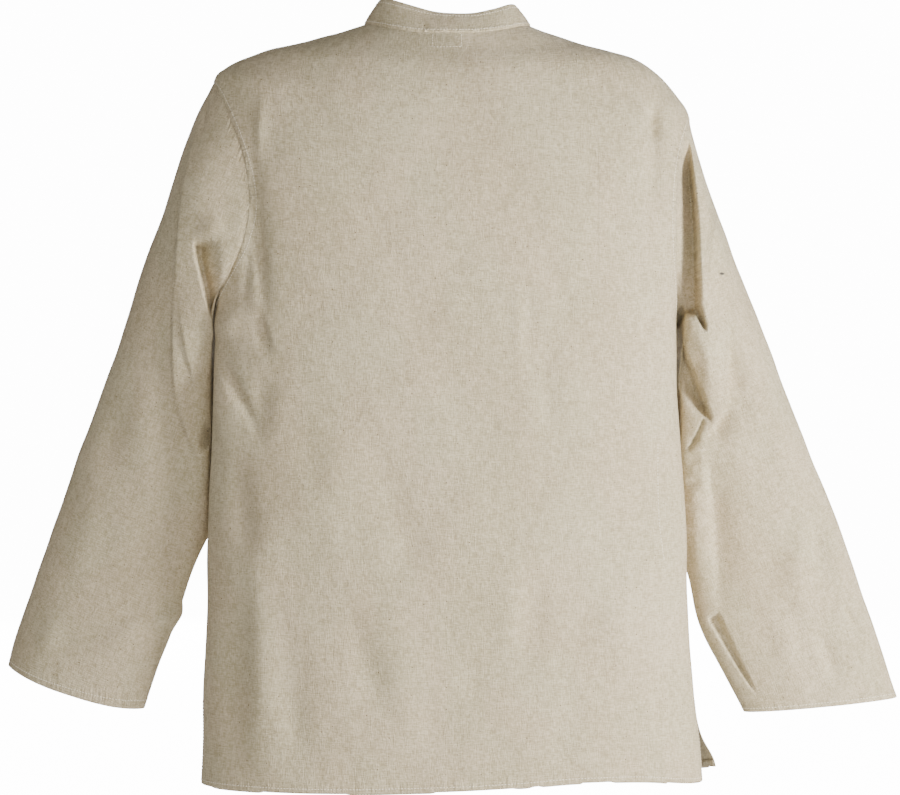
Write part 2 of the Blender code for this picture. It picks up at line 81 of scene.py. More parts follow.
# how often the rosy tint and the soft creases change each way, to the metre
ROSY_CHANGES, CREASE_CHANGES = (14, 10), (34, 26)
# how wide the painted shade along a pressed crease line is
CREASE_SHADE_WIDTH = 1.6 * MM
PALE_THREAD = (0.650, 0.566, 0.390, 1)
MIDDLE_THREAD = (0.535, 0.457, 0.295, 1)
DEEP_THREAD = (0.425, 0.356, 0.218, 1)
ROSY_TINT = (1.02, 0.99, 1.0, 1)
SPECK_COLOUR = (0.16, 0.11, 0.07, 1)
# the colour of the painted shade along pressed crease lines
CREASE_SHADE_TINT = (0.55, 0.52, 0.50, 1)
SHEEN_TINT = (1.0, 0.95, 0.86, 1)

# a pressed crease line drawn as painted shade: which way it runs, where, from and to on the grain map, and
# how dark
ShadedCreaseLine = namedtuple("ShadedCreaseLine", "way at start end depth")
Spot = namedtuple("Spot", "place size colour")


def link_in(links, source, socket):
    """Sets a socket to a number, or links another node's output to it."""
    if isinstance(source, (int, float)):
        socket.default_value = source
    else:
        links.new(source, socket)


def worked_out(tree, operation, first, second=0.0, third=0.0):
    """A Math node's result."""
    node = tree.nodes.new("ShaderNodeMath")
    node.operation = operation
    for source, socket in zip((first, second, third), node.inputs):
        link_in(tree.links, source, socket)
    return node.outputs[0]


def ramped(tree, value, low, high, start=0.0, end=1.0):
    """A value that runs smoothly from start to end while the first one runs from low to high."""
    node = tree.nodes.new("ShaderNodeMapRange")
    node.interpolation_type = "SMOOTHSTEP"
    tree.links.new(value, node.inputs["Value"])
    for name, number in (("From Min", low), ("From Max", high), ("To Min", start), ("To Max", end)):
        node.inputs[name].default_value = number
    return node.outputs["Result"]


def noise_on(tree, grain, across, along_it, detail=2.0):
    """Noise on the cloth's grain that changes that often each way, to the metre."""
    stretch = tree.nodes.new("ShaderNodeMapping")
    stretch.inputs["Scale"].default_value = (across, along_it, 1)
    tree.links.new(grain, stretch.inputs["Vector"])
    noise = tree.nodes.new("ShaderNodeTexNoise")
    noise.noise_dimensions = "2D"
    noise.inputs["Scale"].default_value = 1
    noise.inputs["Detail"].default_value = detail
    tree.links.new(stretch.outputs["Vector"], noise.inputs["Vector"])
    return noise.outputs["Fac"]


def tinted(tree, colour, tint, share):
    """A colour multiplied by a tint, as far as the share says."""
    node = tree.nodes.new("ShaderNodeMix")
    node.data_type = "RGBA"
    node.blend_type = "MULTIPLY"
    tree.links.new(share, node.inputs["Factor"])
    tree.links.new(colour, node.inputs["A"])
    node.inputs["B"].default_value = tint
    return node.outputs["Result"]


def raised(tree, height, distance, under=None):
    """A Bump node's normal."""
    node = tree.nodes.new("ShaderNodeBump")
    node.inputs["Distance"].default_value = distance
    node.inputs["Strength"].default_value = 1
    tree.links.new(height, node.inputs["Height"])
    if under is not None:
        tree.links.new(under, node.inputs["Normal"])
    return node.outputs["Normal"]


def woven_cotton(name, pressed=(), spots=()):
    """The shirt's cloth, with the painted shade of the lines that were pressed into one piece, and the spots
    on it.
    """
    material = bpy.data.materials.new(name)
    material.use_nodes = True
    tree = material.node_tree
    shader = tree.nodes["Principled BSDF"]
    grain_map = tree.nodes.new("ShaderNodeUVMap")
    grain_map.uv_map = "grain"
    grain = grain_map.outputs["UV"]
    ways = tree.nodes.new("ShaderNodeSeparateXYZ")
    tree.links.new(grain, ways.inputs["Vector"])

    tone, threads = 0.5, 0.0
    for across, along_it, share in THREADS:
        streaks = worked_out(tree, "SUBTRACT", noise_on(tree, grain, across, along_it), 0.5)
        tone = worked_out(tree, "MULTIPLY_ADD", streaks, share, tone)
        if max(across, along_it) > 100:
            threads = worked_out(tree, "MULTIPLY_ADD", streaks, share, threads)
    ramp = tree.nodes.new("ShaderNodeValToRGB")
    ramp.color_ramp.elements[0].position = 0.25
    ramp.color_ramp.elements[0].color = DEEP_THREAD
    ramp.color_ramp.elements[1].position = 0.75
    ramp.color_ramp.elements[1].color = PALE_THREAD
    ramp.color_ramp.elements.new(0.5).color = MIDDLE_THREAD
    tree.links.new(tone, ramp.inputs["Fac"])
    rosy = ramped(tree, noise_on(tree, grain, *ROSY_CHANGES), 0.38, 0.62)
    colour = tinted(tree, ramp.outputs["Color"], ROSY_TINT, rosy)

    cells = tree.nodes.new("ShaderNodeTexVoronoi")
    cells.voronoi_dimensions = "2D"
    cells.inputs["Scale"].default_value = 1 / SPECK_SPACING
    tree.links.new(grain, cells.inputs["Vector"])
    chance = tree.nodes.new("ShaderNodeSeparateColor")
    tree.links.new(cells.outputs["Color"], chance.inputs["Color"])
    size = SPECK_SIZE / SPECK_SPACING
    speck = ramped(tree, cells.outputs["Distance"], size * 0.4, size, 1.0, 0.0)
    speck = worked_out(tree, "MULTIPLY", speck, ramped(tree, chance.outputs["Red"], 0.80, 0.97))
    colour = tinted(tree, colour, SPECK_COLOUR, speck)

    # a darkening read from each piece's shade mark: painted shadow on the back below the collar, and an even
    # slight darkening of the collar and placket bands
    shade = tree.nodes.new("ShaderNodeAttribute")
    shade.attribute_name = "shade"
    colour = tinted(tree, colour, (0.0, 0.0, 0.0, 1), shade.outputs["Fac"])
    # painted shade along the pressed crease lines, darkest on each line and fading at its ends
    crease_shade = 0.0
    for line in pressed:
        beside, along_it = (0, 1) if line.way == "down" else (1, 0)
        offset = worked_out(tree, "SUBTRACT", ways.outputs[beside], line.at)
        close = ramped(tree, worked_out(tree, "ABSOLUTE", offset), 0.0, CREASE_SHADE_WIDTH, line.depth, 0.0)
        fade = (line.end - line.start) / 4
        begun = ramped(tree, ways.outputs[along_it], line.start, line.start + fade)
        ended = ramped(tree, ways.outputs[along_it], line.end - fade, line.end, 1.0, 0.0)
        here = worked_out(tree, "MULTIPLY", close, worked_out(tree, "MULTIPLY", begun, ended))
        crease_shade = worked_out(tree, "ADD", crease_shade, here)
    if pressed:
        colour = tinted(tree, colour, CREASE_SHADE_TINT, crease_shade)
    # each spot tints the cloth: a real stain, or painted shade along a pressed crease
    for spot in spots:
        place = tree.nodes.new("ShaderNodeTexCoord")
        moved = tree.nodes.new("ShaderNodeMapping")
        moved.vector_type = "TEXTURE"
        moved.inputs["Location"].default_value = spot.place
        moved.inputs["Scale"].default_value = spot.size
        tree.links.new(place.outputs["Object"], moved.inputs["Vector"])
        length = tree.nodes.new("ShaderNodeVectorMath")
        length.operation = "LENGTH"
        tree.links.new(moved.outputs["Vector"], length.inputs[0])
        colour = tinted(tree, colour, spot.colour, ramped(tree, length.outputs["Value"], 0.6, 1.2, 1.0, 0.0))
    tree.links.new(colour, shader.inputs["Base Color"])

    turns = 2 * math.pi / THREAD_PAIR
    over = worked_out(tree, "SINE", worked_out(tree, "MULTIPLY", ways.outputs[0], turns))
    under = worked_out(tree, "SINE", worked_out(tree, "MULTIPLY", ways.outputs[1], turns))
    weave = worked_out(tree, "MULTIPLY", over, under)
    normal = raised(tree, weave, WEAVE_RELIEF)
    normal = raised(tree, threads, THREAD_RELIEF, normal)
    near = tree.nodes.new("ShaderNodeAttribute")
    near.attribute_name = "near_seam"
    run = tree.nodes.new("ShaderNodeAttribute")
    run.attribute_name = "seam_run"
    puckers = tree.nodes.new("ShaderNodeTexNoise")
    puckers.noise_dimensions = "1D"
    puckers.inputs["Scale"].default_value = 1 / PUCKER_LENGTH
    puckers.inputs["Detail"].default_value = 1
    tree.links.new(run.outputs["Fac"], puckers.inputs["W"])
    pulled = worked_out(tree, "MULTIPLY", puckers.outputs["Fac"], near.outputs["Fac"])
    normal = raised(tree, pulled, PUCKER_RELIEF, normal)
    creases = noise_on(tree, grain, *CREASE_CHANGES, detail=3.0)
    normal = raised(tree, creases, CREASE_RELIEF, normal)
    tree.links.new(normal, shader.inputs["Normal"])

    shader.inputs["Roughness"].default_value = 0.92
    shader.inputs["Specular IOR Level"].default_value = 0.18
    shader.inputs["Sheen Weight"].default_value = 0.16
    shader.inputs["Sheen Roughness"].default_value = 0.45
    shader.inputs["Sheen Tint"].default_value = SHEEN_TINT
    return material


# The back panel
# One piece of the cotton from the neck to the hem, seamed to the front at the shoulders and sides.
# It hangs off the shoulders and folds softly beside the armholes; the hem is turned up and stitched.
BodyRing = namedtuple(
    "BodyRing", "left_out left_z right_out right_z back front square back_dip front_dip"
)
BODY_RINGS = (
    BodyRing(245, -738, 254, -737, 88, 94, 2.30, -1, -3),
    BodyRing(243, -655, 247, -655, 89, 95, 2.30, 0, -1),
    BodyRing(240, -565, 241, -565, 90, 96, 2.30, 0, 0),
    BodyRing(238, -470, 237, -470, 92, 98, 2.35, 0, 0),
    BodyRing(233, -370, 231, -375, 94, 101, 2.40, 0, 1),
    BodyRing(231, -265, 229, -285, 96, 104, 2.45, 0, 4),
    BodyRing(232, -205, 234, -230, 97, 105, 2.45, 2, 12),
    BodyRing(235, -145, 241, -175, 96, 103, 2.40, 5, 26),
    BodyRing(237, -90, 245, -125, 93, 99, 2.25, 10, 42),
    BodyRing(233, -43, 243, -80, 87, 92, 2.10, 17, 58),
    BodyRing(222, -29, 231, -57, 83, 89, 2.00, 18, 63),
    BodyRing(204, -19, 211, -34, 79, 85, 1.95, 20, 66),
    BodyRing(180, -11, 187, -20, 75, 81, 1.95, 20, 68),
    BodyRing(154, -5, 160, -12, 70, 76, 1.95, 18, 69),
    BodyRing(128, 1, 132, -5, 65, 71, 1.95, 17, 69),
    BodyRing(103, 8, 105, 5, 59, 66, 2.00, 16, 69),
    BodyRing(82, 15, 83, 14, 54, 60, 2.00, 16, 70),
)
HEM, UNDERARM, SHOULDER_TIP, NECK = 0, 5, 9, 16
HEM_RING_HEIGHT = 83

Armhole = namedtuple("Armhole", "deepest lean")
ARMHOLES = {
    ("left", "back"): Armhole(39, 0.85),
    ("left", "front"): Armhole(42, 0.85),
    ("right", "back"): Armhole(27, 1.20),
    ("right", "front"): Armhole(42, 0.85),
}

# A fold runs down from x0, z0 to x1, z1, bowed by bow. left and right are its widths towards the
# wearer's left and right, height is over 0 for a ridge, and peak is where it is strongest, 0 to 1.
Fold = namedtuple("Fold", "x0 z0 x1 z1 bow left right height peak")
BACK_FOLDS = (
    # beside the left armhole
    Fold(191, -92, 175, -286, 3, 6, 9, -7.5, 0.62),
    Fold(189, -110, 176, -288, 3, 1.8, 3.5, -2.4, 0.60),
    Fold(180, -50, 183, -140, 0, 4, 6, 2.8, 0.5),
    Fold(194, -170, 199, -276, -2, 4, 6, -3.4, 0.6),
    Fold(183, -272, 167, -318, 3, 9, 3, -6.5, 0.40),
    Fold(182, -276, 166, -318, 3, 1.8, 3, -1.6, 0.40),
    Fold(200, -258, 224, -306, 0, 16, 12, 6, 0.6),
    Fold(222, -306, 208, -450, 3, 8, 15, 7, 0.35),
    Fold(226, -311, 175, -409, 0, 4, 7, -6, 0.35),
    Fold(226, -311, 174, -411, 0, 1.8, 2.6, -3.2, 0.35),
    Fold(182, -325, 178, -405, 0, 10, 12, -4.6, 0.5),
    Fold(208, -396, 190, -520, 3, 12, 14, -6, 0.6),
    Fold(209, -520, 208, -745, 0, 16, 20, -5.5, 0.5),
    # the skirt's left half
    Fold(182, -460, 181, -735, 0, 14, 18, 5, 0.5),
    Fold(157, -570, 137, -730, 3, 13, 18, -4.2, 0.6),
    Fold(97, -520, 62, -670, 3, 14, 20, -3.8, 0.7),
    Fold(80, -350, 20, -545, 4, 18, 24, -3.8, 0.75),
    Fold(108, -350, 106, -530, 0, 16, 18, 2.6, 0.5),
    Fold(52, -550, 40, -660, 0, 16, 18, 2.6, 0.5),
    Fold(20, -600, 8, -740, 0, 18, 22, -2.4, 0.5),
    # the middle and the right half
    Fold(-69, -240, -70, -365, 0, 5, 4, 1.4, 0.4),
    Fold(-77, -245, -79, -320, 0, 6, 8, -1.8, 0.4),
    Fold(-94, -255, -97, -440, 0, 10, 11, -1.9, 0.5),
    Fold(-60, -530, -56, -625, 0, 15, 17, 2.8, 0.5),
    Fold(-90, -505, -74, -620, 2, 12, 16, -3.8, 0.6),
    Fold(-120, -610, -112, -725, 0, 16, 16, -2.4, 0.5),
    Fold(-160, -480, -168, -720, -5, 24, 26, 2.6, 0.5),
    Fold(-22, -590, -35, -670, 0, 20, 22, -2.0, 0.5),
    # beside the right armhole
    Fold(-203, -56, -205, -138, 0, 7, 5.5, -8, 0.42),
    Fold(-203, -105, -198, -205, 0, 8, 9, -4, 0.35),
    Fold(-214, -170, -215, -390, 0, 10, 9, 4, 0.5),
    Fold(-200, -225, -181, -312, -3, 3, 7, 2.0, 0.6),
    Fold(-196, -250, -190, -318, 0, 5, 8, -3.0, 0.5),
)
FRONT_FOLDS = (
    Fold(188, -110, 176, -300, 6, 5, 13, -7, 0.60),
    Fold(-190, -150, -178, -310, -6, 13, 5, -7, 0.60),
    Fold(222, -300, 172, -410, 0, 5, 9, -4.5, 0.35),
    Fold(-221, -300, -176, -390, 0, 8, 5, -4, 0.35),
    Fold(206, -330, 196, -450, 3, 9, 10, 4, 0.35),
    Fold(-208, -320, -200, -450, -3, 10, 9, 4, 0.35),
    Fold(120, -340, 150, -725, 10, 28, 34, -6, 0.70),
    Fold(-110, -360, -160, -725, -10, 34, 28, -6, 0.70),
    Fold(60, -330, 78, -720, 6, 24, 26, 3.5, 0.75),
    Fold(-48, -300, -62, -720, -6, 24, 26, 3, 0.70),
    Fold(24, -420, 36, -735, 3, 16, 20, -3, 0.70),
    Fold(-14, -460, -22, -700, 0, 18, 16, -2, 0.60),
    Fold(110, -110, 64, -200, 4, 9, 12, -2.6, 0.45),
    Fold(-112, -118, -60, -214, -4, 12, 9, -2.2, 0.40),
    Fold(150, -150, 104, -262, 5, 8, 11, -2.4, 0.5),
    Fold(-148, -170, -120, -268, -5, 11, 8, -2.8, 0.5),
)
FACE_FADE = 0.35
FACE_SIGN = {"back": 1, "front": -1}
SIDE_SIGN = {"left": 1, "right": -1}

# The hand-wide soft unevenness of the whole shirt: wave lengths across and down, where each wave
# starts, and its height, in millimetres.
UNEVEN = ((173, 263, 0.4, 0.9), (97, 151, 2.1, 0.5), (61, 113, 4.0, 0.35), (37, 71, 1.2, 0.2))

# The back hem's lift, a step apart from the wearer's left to right, the slits at the sides, and the
# front panel's corner at the right slit, which curls out past the back panel's.
HEM_LIFT = ((-3,), (-3,), (-3,), (-2,), (0,), (3,), (7,), (6,), (-2,))
HEM_LIFT_STEP = 64 * MM
HEM_LIFT_FADE = 90 * MM
SLIT_HEIGHT = 82 * MM
SLIT_SPREAD = 3.0 * MM
SLIT_SPREAD_WIDTH = 0.25
CURL_OUT, CURL_BACK, CURL_UP = 14 * MM, 8 * MM, 11 * MM
CURL_WIDTH, CURL_HEIGHT = 34 * MM, 33 * MM
CURL_REACH = 0.6

CLOTH_WALL = 0.8 * MM
HEM_FOLD = 1.1 * MM
# the turned-up hem, from its inner edge down, round the fold and up the outside: height above the
# fold in millimetres, and how far round the fold
HEM_SECTION = (
    (12, 180), (9, 180), (6, 180), (3, 180), (1.1, 180), (0.3, 135), (0.0, 90), (0.3, 45), (1.1, 0),
    (3, 0), (5.5, 0), (7, 0), (8, 0), (9, 0), (10.5, 0), (13, 0),
)
SKIRT_ROWS, ARMHOLE_ROWS, YOKE_ROWS = 126, 62, 40
BACK_COLUMNS = 190
# how far a turn of one radian and a step of one ring are on the cloth near the armholes
TURN_LENGTH, RING_LENGTH = 120 * MM, 55 * MM
SEAM_DIP = 0.45 * MM
SEAM_REACH = 6 * MM
HEM_STITCH = 8 * MM
SIDE_PUCKERS, HEM_PUCKERS = 0.3, 0.55
STEP = 1e-3


def along(table, position):
    """The row of a table at a fractional place between its rows, on a smooth curve."""
    rows = np.array(table, float)
    position = np.clip(np.asarray(position, float), 0, len(rows) - 1)
    first = np.minimum(position.astype(int), len(rows) - 2)
    share = (position - first)[..., None]
    before, start = rows[np.maximum(first - 1, 0)], rows[first]
    end, after = rows[first + 1], rows[np.minimum(first + 2, len(rows) - 1)]
    return 0.5 * (
        2 * start
        + (end - before) * share
        + (2 * before - 5 * start + 4 * end - after) * share**2
        + (3 * start - before - 3 * end + after) * share**3
    )


def smoothstep(low, high, value):
    """0 below low, 1 above high, and a soft ramp between."""
    share = np.clip((value - low) / (high - low), 0, 1)
    return share * share * (3 - 2 * share)


def unit(vectors):
    """The same vectors, 1 long."""
    return vectors / np.maximum(np.linalg.norm(vectors, axis=-1, keepdims=True), 1e-12)


def normals(surface, angle, ring):
    """The outward normal of a surface that is given as a function of an angle and a ring."""
    round_it = surface(angle + STEP, ring) - surface(angle - STEP, ring)
    up_it = surface(angle, ring + STEP) - surface(angle, ring - STEP)
    return unit(np.cross(round_it, up_it))


def fold_height(folds, points, seen):
    """How far the folds lift each point off the plain surface, in metres."""
    x, z = points[..., 0] / MM, points[..., 2] / MM
    lift = np.zeros(x.shape)
    for fold in folds:
        run = np.array([fold.x1 - fold.x0, fold.z1 - fold.z0], float)
        length = np.linalg.norm(run)
        run /= length
        share = ((x - fold.x0) * run[0] + (z - fold.z0) * run[1]) / length
        inside = np.clip(share, 0, 1)
        aside = (z - fold.z0) * run[0] - (x - fold.x0) * run[1]
        aside = aside - fold.bow * 4 * inside * (1 - inside)
        width = np.where(aside < 0, fold.right, fold.left)
        ends = smoothstep(0, 1, inside / fold.peak) * smoothstep(0, 1, (1 - inside) / (1 - fold.peak))
        lift += fold.height * np.exp(-((aside / width) ** 2)) * ends
    return lift * smoothstep(0, FACE_FADE, seen) * MM


def unevenness(points):
    """How far the cloth's soft unevenness lifts each point, in metres."""
    x, y, z = points[..., 0] / MM, points[..., 1] / MM, points[..., 2] / MM
    lift = np.zeros(x.shape)
    for across, down, start, height in UNEVEN:
        lift += height * np.sin(2 * math.pi * (x + 0.7 * y) / across + start) * np.sin(
            2 * math.pi * (z - 0.4 * x) / down + 2 * start
        )
    return lift * MM


def body_plain(angle, ring):
    """A point on the body's outside before its folds. angle is 0 at the left side, a quarter turn at
    the middle of the back, a half turn at the right side."""
    row = np.moveaxis(along(BODY_RINGS, ring), -1, 0)
    left_out, left_z, right_out, right_z, back, front, square, back_dip, front_dip = row
    across, deep = np.cos(angle), np.sin(angle)
    swell = (np.abs(across) ** square + np.abs(deep) ** square) ** (-1 / square)
    tilt = (1 + across * swell) / 2
    x = across * swell * np.where(across > 0, left_out, right_out)
    y = deep * swell * np.where(deep > 0, back, front)
    z = left_z * tilt + right_z * (1 - tilt) - np.where(deep > 0, back_dip, front_dip) * deep**2
    return np.stack([x, y, z], -1) * MM


def body(angle, ring):
    """A point on the body's outside, folds and all."""
    points = body_plain(angle, ring)
    out = normals(body_plain, angle, ring)
    lift = fold_height(BACK_FOLDS, points, out[..., 1]) + fold_height(FRONT_FOLDS, points, -out[..., 1])
    return points + out * (lift + unevenness(points))[..., None]


def seam_turn(side, face, ring):
    """How far round from the side a panel ends: the armhole seam, or 0 at a side or shoulder seam."""
    hole = ARMHOLES[side, face]
    share = np.clip((np.asarray(ring, float) - UNDERARM) / (SHOULDER_TIP - UNDERARM), 0, 1) ** hole.lean
    return math.radians(hole.deepest) * np.sqrt(4 * share * (1 - share))


def armhole(side, angle, inset=0.0):
    """A point of the armhole seam, or of the line that far inside the panel from it, and the body's
    normal there. angle is 0 at the shoulder tip, a quarter turn at the back, a half at the underarm."""
    turn = np.mod(angle, 2 * math.pi)
    middle, half = (UNDERARM + SHOULDER_TIP) / 2, (SHOULDER_TIP - UNDERARM) / 2
    ring = middle + half * np.cos(turn)
    from_side = np.where(
        turn <= math.pi, seam_turn(side, "back", ring), -seam_turn(side, "front", ring)
    )
    from_side = from_side + np.sin(turn) * inset / TURN_LENGTH
    ring = ring + np.cos(turn) * inset / RING_LENGTH
    around = from_side if side == "left" else math.pi - from_side
    return body(around, ring), normals(body, around, ring)


def cut_armholes(face, turn, ring):
    """Moves a panel's grid onto the armhole seams where it crosses them, and says what is cut off.
    turn is how far round each point is from the left side."""
    cut_off = np.zeros(turn.shape, bool)
    for side in SIDE_SIGN:
        hole = ARMHOLES[side, face]
        from_side = turn if side == "left" else math.pi - turn
        seam = seam_turn(side, face, ring)
        beyond = (ring > UNDERARM) & (ring < SHOULDER_TIP) & (from_side < seam)
        beside = np.zeros(turn.shape, bool)
        for up, across in ((0, 1), (0, -1), (1, 0), (-1, 0), (1, 1), (1, -1), (-1, 1), (-1, -1)):
            beside |= ~np.roll(beyond, (up, across), (0, 1))
        edge = beyond & beside
        width = np.sqrt(np.maximum(1 - (from_side / math.radians(hole.deepest)) ** 2, 0))
        span = SHOULDER_TIP - UNDERARM
        lower = UNDERARM + span * ((1 - width) / 2) ** (1 / hole.lean)
        upper = UNDERARM + span * ((1 + width) / 2) ** (1 / hole.lean)
        nearest = np.where(np.abs(lower - ring) < np.abs(upper - ring), lower, upper)
        by_ring = np.abs(nearest - ring) * RING_LENGTH < (seam - from_side) * TURN_LENGTH
        from_side = np.where(edge & ~by_ring, seam, from_side)
        ring = np.where(edge & by_ring, nearest, ring)
        turn = from_side if side == "left" else math.pi - from_side
        cut_off |= beyond
    return turn, ring, cut_off


def open_slits(points, angle, face):
    """The panel's edges below the slits, spread apart, and the front's curled corner."""
    hem = BODY_RINGS[HEM].left_z * MM
    low = 1 - smoothstep(hem, hem + SLIT_HEIGHT, points[..., 2])
    at_side = np.exp(-((np.sin(angle) / SLIT_SPREAD_WIDTH) ** 2))
    points = points.copy()
    points[..., 1] += FACE_SIGN[face] * SLIT_SPREAD * low * at_side
    if face == "back":
        place = (len(HEM_LIFT) - 1) / 2 - points[..., 0] / HEM_LIFT_STEP
        lift = along(HEM_LIFT, place)[..., 0] * MM
        points[..., 2] += lift * np.exp(-(((points[..., 2] - hem) / HEM_LIFT_FADE) ** 2))
    if face == "front":
        from_corner = (points[..., 0] + BODY_RINGS[HEM].right_out * MM) / CURL_WIDTH
        above = (points[..., 2] - hem) / CURL_HEIGHT
        curl = np.exp(-(from_corner**2)) * np.exp(-(above**2))
        curl = curl * smoothstep(-CURL_REACH, 0, points[..., 1] / (BODY_RINGS[HEM].front * MM))
        points += curl[..., None] * np.array([-CURL_OUT, CURL_BACK, CURL_UP])
    return points


def run_along(points, axis):
    """The distance run along each row or column of points, from its first."""
    steps = np.linalg.norm(np.diff(points, axis=axis), axis=-1)
    start = np.zeros_like(np.take(steps, [0], axis=axis))
    return np.concatenate([start, np.cumsum(steps, axis=axis)], axis=axis)


def panel(face, columns_of):
    """The points, normals, rings and cut-off points of a panel, from the hem's inner edge up."""
    section = np.array(HEM_SECTION, float)
    hem = section[:, 0] / HEM_RING_HEIGHT
    skirt = np.linspace(hem[-1], UNDERARM, SKIRT_ROWS + 1)[1:]
    middle = np.linspace(UNDERARM, SHOULDER_TIP, ARMHOLE_ROWS + 1)[1:]
    yoke = np.linspace(SHOULDER_TIP, NECK, YOKE_ROWS + 1)[1:]
    rings = np.concatenate([hem, skirt, middle, yoke])
    turn = columns_of(rings)
    turn, ring, cut_off = cut_armholes(face, turn, np.repeat(rings[:, None], turn.shape[1], axis=1))
    angle = turn * FACE_SIGN[face]
    points = open_slits(body(angle, ring), angle, face)
    out = normals(body, angle, ring)
    sunk = np.zeros(len(rings))
    sunk[: len(section)] = HEM_FOLD * (1 - np.cos(np.radians(section[:, 1])))
    points = points - out * sunk[:, None, None]
    joined = (rings > (SLIT_HEIGHT / MM) / HEM_RING_HEIGHT) & ((rings < UNDERARM) | (rings > SHOULDER_TIP))
    for edge in (0, -1):
        points[:, edge] -= out[:, edge] * (SEAM_DIP * joined)[:, None]
    return points, out, rings, cut_off


def panel_marks(face, points, rings):
    """How close each point is to a seam or stitched hem, and how far along that seam it is."""
    across = run_along(points, 1)
    from_side = np.minimum(across, across[:, -1:] - across)
    near = SIDE_PUCKERS * np.exp(-((from_side / SEAM_REACH) ** 2))
    run = run_along(points, 0)
    height = (rings * HEM_RING_HEIGHT * MM)[:, None] * np.ones(across.shape)
    near_hem = HEM_PUCKERS * np.exp(-(((height - HEM_STITCH) / SEAM_REACH) ** 2))
    near, run = np.maximum(near, near_hem), np.where(near > near_hem, run, across)
    for side in SIDE_SIGN:
        seam = armhole(side, np.linspace(0, math.pi, 500) * FACE_SIGN[face])[0]
        seam_run = run_along(seam[None], 1)[0]
        for row in np.nonzero((rings > UNDERARM - 0.4) & (rings < SHOULDER_TIP + 1))[0]:
            distance = np.linalg.norm(points[row][:, None] - seam, axis=-1)
            closest = distance.argmin(axis=1)
            close = np.exp(-((distance.min(axis=1) / (1.5 * SEAM_REACH)) ** 2))
            run[row] = np.where(close > near[row], seam_run[closest], run[row])
            near[row] = np.maximum(close, near[row])
    return near, run


def grain_of(points, middle):
    """The cloth's own map in metres: across from the middle column, and up."""
    across = run_along(points, 1)
    across = across - across[:, middle : middle + 1]
    up = run_along(points, 0)[:, middle : middle + 1] * np.ones(across.shape)
    return np.stack([across, up], -1)


def lay_cloth(name, points, out, grain, marks, material, tube=False, cut_off=None):
    """Lays a sheet of cloth on rows of points, and gives it its wall, grain and marks. A face goes
    where all its points are cut off."""
    rows, columns = points.shape[:2]
    mesh = bmesh.new()
    number = mesh.verts.layers.int.new("number")
    layers = {mark: mesh.verts.layers.float.new(mark) for mark in marks}
    grain_layer = mesh.loops.layers.uv.new("grain")
    bmesh.ops.create_grid(mesh, x_segments=columns - 1, y_segments=rows - 1, size=1)
    for vert in mesh.verts:
        column = round((vert.co.x + 1) / 2 * (columns - 1))
        row = round((vert.co.y + 1) / 2 * (rows - 1))
        vert[number] = row * columns + column
        vert.co = points[row, column]
        for mark, values in marks.items():
            vert[layers[mark]] = values[row, column]
    flat = grain.reshape(-1, 2)
    facing = 0.0
    flat_out = out.reshape(-1, 3)
    for face in mesh.faces:
        for loop in face.loops:
            loop[grain_layer].uv = flat[loop.vert[number]]
        face.normal_update()
        facing += face.normal.dot(Vector(flat_out[face.verts[0][number]])) * face.calc_area()
    if facing < 0:
        bmesh.ops.reverse_faces(mesh, faces=mesh.faces[:])
    if cut_off is not None:
        gone = cut_off.reshape(-1)
        cut = [face for face in mesh.faces if all(gone[vert[number]] for vert in face.verts)]
        bmesh.ops.delete(mesh, geom=cut, context="FACES")
    if tube:
        ends = [vert for vert in mesh.verts if vert[number] % columns in (0, columns - 1)]
        bmesh.ops.remove_doubles(mesh, verts=ends, dist=0.01 * MM)
    data = bpy.data.meshes.new(name)
    mesh.to_mesh(data)
    mesh.free()
    data.shade_smooth()
    data.materials.append(material)
    made = bpy.data.objects.new(name, data)
    bpy.context.scene.collection.objects.link(made)
    solid = made.modifiers.new("wall", "SOLIDIFY")
    solid.thickness = CLOTH_WALL
    solid.offset = -1
    return made


def back_columns(rings):
    """How far round from the left side the back panel's columns are in each row."""
    return np.ones(rings.shape)[:, None] * np.linspace(0, math.pi, BACK_COLUMNS + 1)


HALVINGS = 40


def on_back(x, z):
    """Points on the back at those places, and their normals; x and z are in millimetres."""
    x, z = np.asarray(x, float), np.asarray(z, float)
    low, high = np.full(x.shape, float(HEM)), np.full(x.shape, float(NECK))
    for _ in range(HALVINGS):
        ring = (low + high) / 2
        row = along(BODY_RINGS, ring)
        half_width = np.where(x > 0, row[..., 0], row[..., 2])
        share = np.clip(np.abs(x) / half_width, 1e-6, 1)
        turn = np.arctan((share ** -row[..., 6] - 1) ** (1 / row[..., 6]))
        angle = np.where(x > 0, turn, math.pi - turn)
        point = open_slits(body(angle, ring), angle, "back")
        under = point[..., 2] < z * MM
        low, high = np.where(under, ring, low), np.where(under, high, ring)
    return point, normals(body, angle, ring)


# the pressed crease lines on the back, drawn as painted shade
BACK_CREASE_SHADE = (
    ShadedCreaseLine("down", 0.1475, 0.505, 0.670, 0.30),
    ShadedCreaseLine("down", -0.107, 0.520, 0.690, 0.14),
    ShadedCreaseLine("down", -0.119, 0.090, 0.300, 0.12),
)
# the painted shadow below the collar where the facing and the label inside show through the thin cloth, in
# millimetres
FACING_PLACE, FACING_SIZE, FACING_SHADE = (-16, -33), (26, 22), 0.16
LABEL_LEFT, LABEL_RIGHT, LABEL_TOP, LABEL_FOOT = 14, -14, -3, -17
# how dark the painted shadow is where the label inside shows through
LABEL_SHADE = 0.05

back_points, back_out, panel_rings, back_cut = panel("back", back_columns)
back_near, back_run = panel_marks("back", back_points, panel_rings)
back_x, back_z = back_points[..., 0] / MM, back_points[..., 2] / MM
